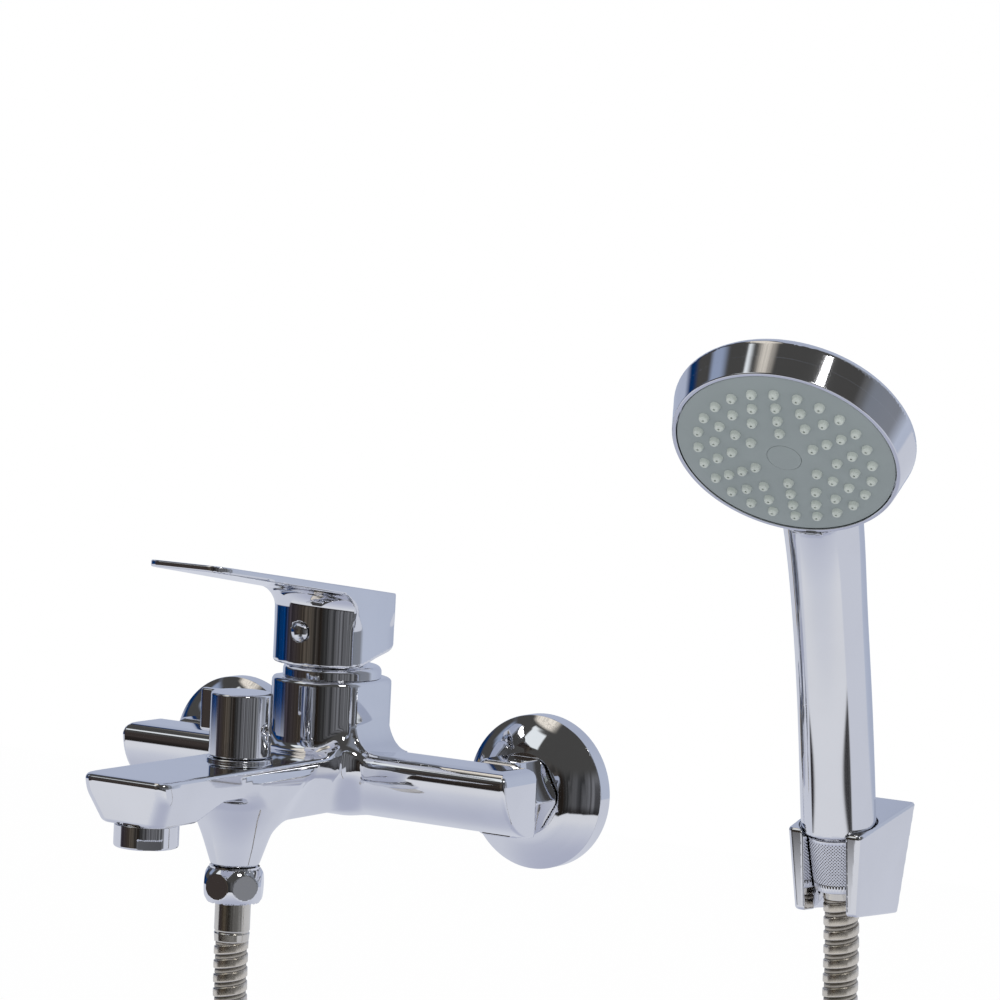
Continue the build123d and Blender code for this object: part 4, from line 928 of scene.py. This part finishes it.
class BATHMIXER_OT_conical_nut(Operator):
    """Knurl the conical nut of the handset"""

    bl_idname = "bathmixer.conical_nut"
    bl_label = "Conical nut"

    def execute(self, context):
        sizes = context.scene.bath_mixer_sizes
        pitch, depth = sizes.knurl_pitch / MM, sizes.knurl_depth / MM
        outline, _ = rounded(((7.1, -22.5), (9.9, -22.5, 0.5), (10.25, -19.4), (12.2, -1.0, 0.5),
                              (9.9, -1.0), (9.9, -12.0), (7.1, -12.0)), edge=0.1)
        # The long outer flank gets rows that are fine enough for the ridges
        rows = [outline[0]]
        for before, after in zip(outline, outline[1:]):
            gap = np.linalg.norm(after - before)
            parts = max(1, int(gap / 0.19)) if gap > 10 and after[0] > 11 else 1
            rows += [before + (after - before) * part / parts for part in range(1, parts + 1)]
        radius, height = np.array(rows)[:, :1], np.array(rows)[:, 1:]
        middle_r, columns_per_ridge = 11.2, 7
        starts = int(2 * pi * middle_r / pitch)
        columns = columns_per_ridge * starts
        angle = 2 * pi * np.arange(columns) / columns
        # Two sets of helical ridges that cross
        winding = angle * starts / (2 * pi)
        ridge = np.minimum(*(np.clip(3.2 * np.minimum(value % 1, 1 - value % 1), 0, 1)
                             for value in (winding + height / pitch, winding - height / pitch)))
        # Only the long flank is knurled, and the grooves run out at its ends
        band = ease(height, -19.6, -19.2) * (1 - ease(height, -2.6, -2.2)) * (radius > 10.1)
        radius = radius - depth * (1 - ridge) * band
        height = np.broadcast_to(height, radius.shape)
        points = np.stack([radius * np.cos(angle), radius * np.sin(angle), height], 2)
        piece("knurled_nut", placed(HANDSET, points.reshape(-1, 3)), grid_faces(len(rows), columns),
              "chromed_brass", "handset", "cone_nut")
        return {"FINISHED"}


# ---------------------------------------------------------------- handset


# The handle's height, how far its middle bows forward there, and its radius
STATIONS = np.array([(-30, 0, 14.1), (-10, 0, 14.1), (0, 0, 14.1), (50, 0, 13.9), (90, 2.6, 14.0),
                     (118, 6.2, 14.7), (142, 15, 15.0), (160, 27.5, 14.0), (175, 41, 12.0),
                     (186, 52, 9.0)])
CENTRE_LINE, HANDLE_RADIUS = (natural_spline(STATIONS[:, 0], STATIONS[:, part]) for part in (1, 2))
TO_HEAD = np.linalg.inv(HEAD_LOCAL)
# The spray face is part of a large sphere
FACE_SPHERE, FACE_TOP, FACE_SEAT = 401.0, -2.0, -6.9
NOZZLE_RINGS = ((24, 31.9), (18, 25.6), (12, 19.3), (6, 13.05))
NOZZLE_TURN, NOZZLE_SIDES = radians(24.2), 20


def handset_field(p):
    """Handle and head in one plated shell."""
    x, forward, height = p[:, 0], -p[:, 1], p[:, 2]
    centre, slant = CENTRE_LINE(height)
    handle = np.hypot(x, (forward - centre) / np.sqrt(1 + slant ** 2)) - HANDLE_RADIUS(height)[0]
    chamfer = 0.7071 * (np.hypot(x, forward) - 13.3 - height)
    handle = meet(meet(handle, chamfer, 0.8, 45), -height, 0.2)
    handle = meet(handle, height - 184.0, 4.0)
    # The head in its own frame: a domed back, a slanting edge and a tapered wall
    q = placed(TO_HEAD, p)
    radial, w = np.hypot(q[:, 0], q[:, 1]), q[:, 2]
    dome = np.hypot(radial, w - 70.7) - 100.03
    edge = 0.781 * (radial - 42.2) - 0.625 * (w + 20.0)
    wall = 0.9759 * (radial - 44.6) + 0.2185 * (w + 17.0)
    head = meet(meet(dome, edge, 4.0, 27), wall, 1.8, 51)
    shell = join(handle, head, 14.0 - 12.0 * ease(w, -24, -9))
    # Room for the ring and for what lies behind the spray face
    shell = np.maximum(shell, np.minimum(w + 8.0, 0.12 - wall))
    shell = np.maximum(shell, -np.maximum(radial - 38.6, -20.0 - w))
    # The conical nut holds on to a spigot
    spigot = np.maximum(np.hypot(x, forward) - 9.8, np.maximum(-8.0 - height, height - 5.0))
    return np.minimum(shell, spigot)


def plate_height(radius):
    """Height of the spray face in the head's frame."""
    return FACE_TOP - FACE_SPHERE + sqrt(FACE_SPHERE ** 2 - radius ** 2)


class BATHMIXER_OT_handset(Operator):
    """Skin the handset and turn its ring, spray face, nozzles and cap"""

    bl_idname = "bathmixer.handset"
    bl_label = "Handset"

    def execute(self, context):
        sizes = context.scene.bath_mixer_sizes
        step, columns = 0.95 * sizes.skin_step / MM, sizes.turned_columns
        skinned("handset_casting", HANDSET, handset_field, (-48, -84, -11), (48, 20, 203), step,
                "chromed_plastic", "handset", "handset_shell")
        lathe("spray_ring", HEAD,
              ((36.2, -7.9), (37.35, -7.9), (37.35, -12.0), (38.55, -12.0), (38.55, -8.0),
               (42.3, -8.0, 0.05), (42.9, -10.6, 0.05), (43.22, -10.6, 0.05), (41.66, -3.6, 0.6),
               (40.2, -3.6, 0.35), (40.2, FACE_SEAT), (36.2, FACE_SEAT)),
              "chromed_plastic", "handset", "head_ring", columns=2 * columns, edge=0.1)
        face = [(0, FACE_SEAT), (39.9, FACE_SEAT, 0.2), (39.9, plate_height(39.9), 0.8)]
        face += [(radius, plate_height(radius)) for radius in (39.2, 37, 34, 30, 25, 20, 15, 10, 6.6)]
        face += [(6.35, plate_height(6.35), 0.2), (6.3, -2.6), (0, -2.6)]
        lathe("spray_face", HEAD, face, "face_grey", "handset", "face_plate",
              closed=False, columns=columns, edge=0.15)
        lathe("spray_cap", HEAD, ((0, -2.6), (6.28, -2.6), (6.28, -1.9, 0.35), (0, -1.6)),
              "face_grey", "handset", "center_cap", closed=False, columns=96, edge=0.1)
        outline, outline_normals = rounded(
            ((2.0, -0.4), (1.85, 0.3, 0.6), (1.6, 1.5, 0.8), (1.1, 2.0, 0.4), (0.42, 2.0, 0.12),
             (0.42, 0.2), (0, 0.2)), closed=False, edge=0.1)
        nozzles = []
        for count, ring in NOZZLE_RINGS:
            for number in range(count):
                angle = NOZZLE_TURN + 2 * pi * number / count
                spot = ring * cos(angle), ring * sin(angle), plate_height(ring)
                nozzles.append(turned_grid(HEAD @ axes(spot, (1, 0, 0), (0, 0, 1)), outline,
                                           outline_normals, NOZZLE_SIDES))
        points, normals = (np.concatenate(part) for part in zip(*nozzles))
        first = NOZZLE_SIDES * len(outline) * np.arange(len(nozzles))
        faces = grid_faces(len(outline), NOZZLE_SIDES)[None] + first[:, None, None]
        piece("spray_nozzles", points, faces.reshape(-1, 4), "nozzle_silicone", "handset", "nozzle_mat",
              normals)
        return {"FINISHED"}


# ---------------------------------------------------------------- wall bracket


TO_SEAT = np.linalg.inv(SEAT)


def bracket_field(p):
    """The wall bracket: a tapered block with a conical seat that is open to the front."""
    x, u, z = np.abs(p[:, 0] - BRACKET_X), -p[:, 1], p[:, 2]
    # The block widens upwards and towards its front
    share = (z + 25.2) / 31.1
    front_u, front_half = 36.4 + 4.3 * share, 13.2 + 2.3 * share
    back_half = 12.4 + 5.0 * (z + 28.0) / 43.3
    flank = 0.99 * (x - back_half - (front_half - back_half) * u / front_u)
    block = meet(flank, 0.99 * (u - front_u), 2.3)
    top = 0.974 * (z - 15.3 + 0.231 * u)
    bottom = 0.997 * (-28.0 + 0.0769 * u - z)
    block = meet(meet(block, top, 1.3), bottom, 1.3)
    block = meet(block, -u, 0.4)
    # The conical seat, with a recess round its top and a slot to the front
    q = placed(TO_SEAT, p)
    radial, height = np.hypot(q[:, 0], q[:, 1]), q[:, 2]
    seat = 0.994 * (radial - 12.5 - 0.107 * np.clip(height + 1, -21.5, 0))
    recess = np.maximum(radial - 14.7, -0.3 - height)
    hollow = np.minimum(seat, recess)
    slot = np.maximum(x - 8.7, SEAT_OUT - u)
    block = meet(block, -np.minimum(hollow, slot), 0.8)
    # A pocket in the back leaves a boss round each screw hole, which is wider in front
    pocket = np.maximum(np.maximum(x - 8.0, np.abs(z + 9.0) - 15.5), u - 9.0)
    for screw_z in (1.0, -19.0):
        around = np.hypot(x, z - screw_z)
        pocket = np.maximum(pocket, 4.5 - around)
        block = np.maximum(block, -np.maximum(around - 2.5, u - SEAT_OUT))
        block = np.maximum(block, -np.maximum(around - 4.2, np.maximum(10.5 - u, u - SEAT_OUT)))
    return meet(block, -pocket, 0.2)


class BATHMIXER_OT_bracket(Operator):
    """Skin the wall bracket"""

    bl_idname = "bathmixer.bracket"
    bl_label = "Wall bracket"

    def execute(self, context):
        skinned("bracket_casting", WORLD, bracket_field, (203, -43, -30.5), (242, 2.5, 18), 0.62,
                "chromed_plastic", "fixed", "bracket_fork")
        return {"FINISHED"}


# ---------------------------------------------------------------- finishes, stage and camera


class BATHMIXER_OT_finishes(Operator):
    """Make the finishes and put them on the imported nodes"""

    bl_idname = "bathmixer.finishes"
    bl_label = "Finishes"

    def execute(self, context):
        colours = context.scene.bath_mixer_finishes
        chrome, gloss = tuple(colours.chrome), colours.chrome_roughness
        face, nozzle = tuple(colours.face), tuple(colours.nozzle)
        FINISHES.update({
            "chromed_brass": plated("chrome_on_brass", chrome, gloss, 0.03, 22),
            "chromed_zinc": plated("chrome_on_zinc", chrome, gloss, 0.04, 26),
            "chromed_plastic": plated("chrome_on_plastic", dimmed(chrome, 0.98), gloss + 0.01, 0.05, 18),
            "raw_brass": machined("turned_brass", (0.62, 0.45, 0.20), 0.32),
            "stainless_steel": machined("turned_steel", (0.80, 0.76, 0.68), 0.15, depth=0.01),
            # The near black colour is the painted shade in the hose's grooves
            "steel_hose": strip_steel("hose_strip", tuple(colours.steel), (0.07, 0.06, 0.045), 0.27),
            "cartridge_plastic": moulded("cartridge_plastic", (0.70, 0.71, 0.70), 0.45),
            "stem_steel": machined("stem_steel", (0.52, 0.51, 0.49), 0.3),
            "ceramic": moulded("ceramic_disc", (0.82, 0.81, 0.78), 0.18, depth=0.03),
            "seal_rubber": moulded("seal_rubber", (0.035, 0.035, 0.036), 0.6),
            "face_grey": moulded("spray_face_grey", face, 0.42, 1400, 0.05, 0.025),
            "nozzle_silicone": moulded("nozzle_silicone", nozzle, 0.5, 1200, 0.08, 0.04),
            "tie_plastic": moulded("tie_plastic", (0.05, 0.05, 0.052), 0.5),
        })
        slots = {row["node"]: row["material_slot"] for row in frame["record"]["subparts"]}
        for name, node in frame["nodes"].items():
            material = FINISHES[slots[name]]
            if not node.data.materials:
                node.data.materials.append(material)
            for place in range(len(node.data.materials)):
                node.data.materials[place] = material
        return {"FINISHED"}


TENT = (0.43, 0.475, 0.60)
# What the metal sees at its own height: degrees from straight ahead of the wall, and the colour there
SURROUNDINGS = (
    (-180, TENT), (-114, TENT), (-107, (0.002, 0.028, 0.11)), (-73, (0.001, 0.03, 0.125)),
    (-62, (0.04, 0.034, 0.045)), (-30, (0.045, 0.036, 0.029)), (-14, (0.085, 0.072, 0.058)),
    (0, (0.045, 0.04, 0.036)), (9, (0.010, 0.007, 0.005)), (18, (0.045, 0.045, 0.045)),
    (48, (0.118, 0.12, 0.13)), (98, (0.15, 0.155, 0.165)), (106, (0.21, 0.23, 0.27)),
    (130, (0.23, 0.245, 0.28)), (142, (0.50, 0.55, 0.67)), (180, TENT))


def studio_world():
    """White to the camera; to metal, a pale tent, a dark room behind the camera and a pale table."""
    world = bpy.data.worlds.new("studio")
    bpy.context.scene.world = world
    world.use_nodes = True
    tree = world.node_tree
    tree.nodes.clear()
    place = node_of(tree, "ShaderNodeTexCoord")
    x, y, z = (node_of(tree, "ShaderNodeSeparateXYZ", output=axis, Vector=place) for axis in range(3))
    turn = x.math("ARCTAN2", y * -1) * (180 / pi)
    tones = [((angle + 180) / 360, colour) for angle, colour in SURROUNDINGS]
    around = node_of(tree, "ShaderNodeValToRGB", {"stops": tones}, Fac=turn * (1 / 360) + 0.5)
    streaks = node_of(tree, "ShaderNodeTexNoise", {"noise_dimensions": "1D"},
                      W=turn, Scale=0.16, Detail=2.0)
    ahead = turn.band(-104, -96, 92, 104)
    shade = (streaks.step(0.3, 0.7, 0.4, 1.6) - 1) * ahead + 1
    wall = node_of(tree, "ShaderNodeVectorMath", {"operation": "SCALE"}, _0=around, Scale=shade)
    tent = node_of(tree, "ShaderNodeTexNoise", Vector=place, Scale=2.2, Detail=2.0).step(0.35, 0.7)
    tent = mixed(tree, tent, TENT, (0.50, 0.54, 0.66))
    # The room behind the camera turns dark grey towards its ceiling and black towards its floor
    left = turn.step(-70, -62, 1, 0)
    dim = (z.step(0.15, 0.42) + z.step(0.02, 0.12) * left).math("MINIMUM", 1) * ahead
    wall = mixed(tree, dim, wall, (0.065, 0.064, 0.062))
    base = z.step(-0.40, -0.22, 1, 0) * turn.band(-100, -60, 60, 90)
    wall = mixed(tree, base * 0.8, wall, (0.012, 0.010, 0.009))
    # A window pane, a bluish patch of wall and a skylight with glints
    pane = turn.band(-52, -49, -24, -21) * z.band(0.50, 0.53, 0.76, 0.79)
    wall = mixed(tree, pane, wall, (0.86, 0.90, 0.92))
    patch = turn.band(-88, -82, -72, -66) * z.band(0.25, 0.33, 0.55, 0.65)
    wall = mixed(tree, patch, wall, (0.30, 0.36, 0.50))
    glints = node_of(tree, "ShaderNodeTexNoise", Vector=place, Scale=60.0, Detail=2.0)
    glints = glints.step(0.35, 0.6, 0.55, 1)
    skylight = turn.band(-104, -90, -30, -8) * z.band(0.79, 0.84, 0.93, 0.965)
    wall = mixed(tree, skylight * glints, wall, (1.0, 0.93, 0.82))
    shown = mixed(tree, z.step(0.965, 0.985), wall, tent)
    # The pale table, whose far edge stands at three heights
    table = mixed(tree, z.step(-0.97, -0.60), (0.46, 0.485, 0.60), (0.63, 0.655, 0.735))
    front = turn.band(-66, -61, 70, 76)
    table = mixed(tree, z.step(-0.66, -0.48) * front, table, (0.74, 0.755, 0.80))
    middle = turn.band(70, 76, 99, 105)
    low = z.step(-0.405, -0.38, 1, 0) + z.step(-0.23, -0.21, 1, 0) * middle
    low = (low + z.step(-0.145, -0.125, 1, 0) * (1 - front - middle)).math("MINIMUM", 1)
    shown = mixed(tree, low, shown, table)
    # The camera sees white paper, and matt surfaces are lit evenly
    to_camera = node_of(tree, "ShaderNodeBackground", Color=(1, 1, 1, 1), Strength=1.0)
    to_metal = node_of(tree, "ShaderNodeBackground", Color=shown, Strength=1.0)
    to_matt = node_of(tree, "ShaderNodeBackground", Color=(0.97, 0.98, 1.0, 1), Strength=0.82)
    is_camera = node_of(tree, "ShaderNodeLightPath", output="Is Camera Ray")
    is_glossy = node_of(tree, "ShaderNodeLightPath", output="Is Glossy Ray")
    rest = node_of(tree, "ShaderNodeMixShader", _0=is_glossy, _1=to_matt, _2=to_metal)
    whole = node_of(tree, "ShaderNodeMixShader", _0=is_camera, _1=rest, _2=to_camera)
    surface(tree, whole, "ShaderNodeOutputWorld")


def lamp(name, place, target, size, power, colour=(1, 1, 1)):
    """A rectangular softbox aimed at a point."""
    light = bpy.data.lights.new(name, "AREA")
    light.shape = "RECTANGLE"
    light.size, light.size_y = size
    light.energy = power
    light.color = colour
    thing = bpy.data.objects.new(name, light)
    bpy.context.scene.collection.objects.link(thing)
    back = unit(np.array(place) - np.array(target))
    matrix = axes(place, np.cross((0, 0, 1), back), back)
    thing.matrix_world = Matrix(matrix.tolist())
    return thing


def stand_camera(place, azimuth, elevation, roll, focal_pixels, frame_pixels=1000, sensor=36):
    """A camera that looks back along a direction; place is across, up and out in its own axes."""
    back = np.array((sin(azimuth) * cos(elevation), -cos(azimuth) * cos(elevation), sin(elevation)))
    right = np.array((cos(azimuth), sin(azimuth), 0))
    up = np.array((-sin(azimuth) * sin(elevation), cos(azimuth) * sin(elevation), cos(elevation)))
    rolled_right = cos(roll) * right + sin(roll) * up
    rolled_up = -sin(roll) * right + cos(roll) * up
    matrix = np.eye(4)
    matrix[:3, :3] = np.stack([rolled_right, rolled_up, back], 1)
    matrix[:3, 3] = (place[0] * rolled_right + place[1] * rolled_up + place[2] * back) * MM
    data = bpy.data.cameras.new("camera")
    data.sensor_width = sensor
    data.lens = focal_pixels / frame_pixels * sensor
    data.clip_start, data.clip_end = 0.05, 20
    camera = bpy.data.objects.new("camera", data)
    bpy.context.scene.collection.objects.link(camera)
    camera.matrix_world = Matrix(matrix.tolist())
    return camera


class BATHMIXER_OT_stage(Operator):
    """Set up the floor, lights, world and camera"""

    bl_idname = "bathmixer.stage"
    bl_label = "Stage"

    def execute(self, context):
        scene = context.scene
        scene.view_settings.view_transform = "Standard"
        studio_world()
        floor_z, reach = min(CAD_BOX[0][2], 0) - 0.0005, 1.6
        mesh = bpy.data.meshes.new("floor")
        corners = ((-reach, -reach), (reach, -reach), (reach, reach), (-reach, reach))
        mesh.from_pydata([(x, y, floor_z) for x, y in corners], [], [(0, 1, 2, 3)])
        material, tree = material_of("floor_paper")
        grain = noise(tree, 300, 3)
        paper = node_of(tree, "ShaderNodeBsdfDiffuse",
                        Color=mixed(tree, grain.step(0.3, 0.7), (0.80, 0.80, 0.81), (0.84, 0.84, 0.85)))
        white = node_of(tree, "ShaderNodeEmission", Color=(1, 1, 1, 1), Strength=1.0)
        seen = node_of(tree, "ShaderNodeLightPath", output="Is Camera Ray")
        shown = node_of(tree, "ShaderNodeMixShader", _0=seen * 0.985, _1=paper, _2=white)
        clear = node_of(tree, "ShaderNodeBsdfTransparent")
        mirrored = node_of(tree, "ShaderNodeLightPath", output="Is Glossy Ray")
        shown = node_of(tree, "ShaderNodeMixShader", _0=mirrored, _1=shown, _2=clear)
        surface(tree, shown)
        mesh.materials.append(material)
        floor = bpy.data.objects.new("floor", mesh)
        scene.collection.objects.link(floor)
        lamp("key_softbox", (0.94, -0.60, 1.04), (0.0, -0.08, 0.0), (0.30, 0.22), 1.6)
        lamp("left_softbox", (-0.93, -0.62, 1.04), (0.0, -0.08, 0.0), (0.26, 0.20), 1.1,
             (1.0, 0.97, 0.92)).visible_glossy = False
        # Fitted to the mixer's straight edges in the photograph
        scene.camera = stand_camera((45.49, 111.2, 1500), radians(32.35), radians(3.84), radians(2.75),
                                    focal_pixels=3622)
        return {"FINISHED"}


class BATHMIXER_PT_panel(Panel):
    """Lists the steps and the sizes"""

    bl_idname = "BATHMIXER_PT_panel"
    bl_label = "Bath Mixer"
    bl_space_type = "VIEW_3D"
    bl_region_type = "UI"
    bl_category = "Bath Mixer"

    def draw(self, context):
        for group in (context.scene.bath_mixer_finishes, context.scene.bath_mixer_sizes):
            box = self.layout.box()
            for name in group.__annotations__:
                box.prop(group, name)
        for step in STEPS:
            self.layout.operator(step.bl_idname)


STEPS = (BATHMIXER_OT_stage, BATHMIXER_OT_finishes, BATHMIXER_OT_hose, BATHMIXER_OT_body,
         BATHMIXER_OT_lever, BATHMIXER_OT_wall_connections, BATHMIXER_OT_fittings,
         BATHMIXER_OT_conical_nut, BATHMIXER_OT_handset, BATHMIXER_OT_bracket)
CLASSES = (BathMixerFinishes, BathMixerSizes, *STEPS, BATHMIXER_PT_panel)


def register():
    for cls in CLASSES:
        bpy.utils.register_class(cls)
    bpy.types.Scene.bath_mixer_finishes = PointerProperty(type=BathMixerFinishes)
    bpy.types.Scene.bath_mixer_sizes = PointerProperty(type=BathMixerSizes)


def unregister():
    del bpy.types.Scene.bath_mixer_finishes
    del bpy.types.Scene.bath_mixer_sizes
    for cls in reversed(CLASSES):
        bpy.utils.unregister_class(cls)


def main():
    register()
    for step in STEPS:
        group, name = step.bl_idname.split(".")
        getattr(getattr(bpy.ops, group), name)()


if __name__ == "__main__":
    main()
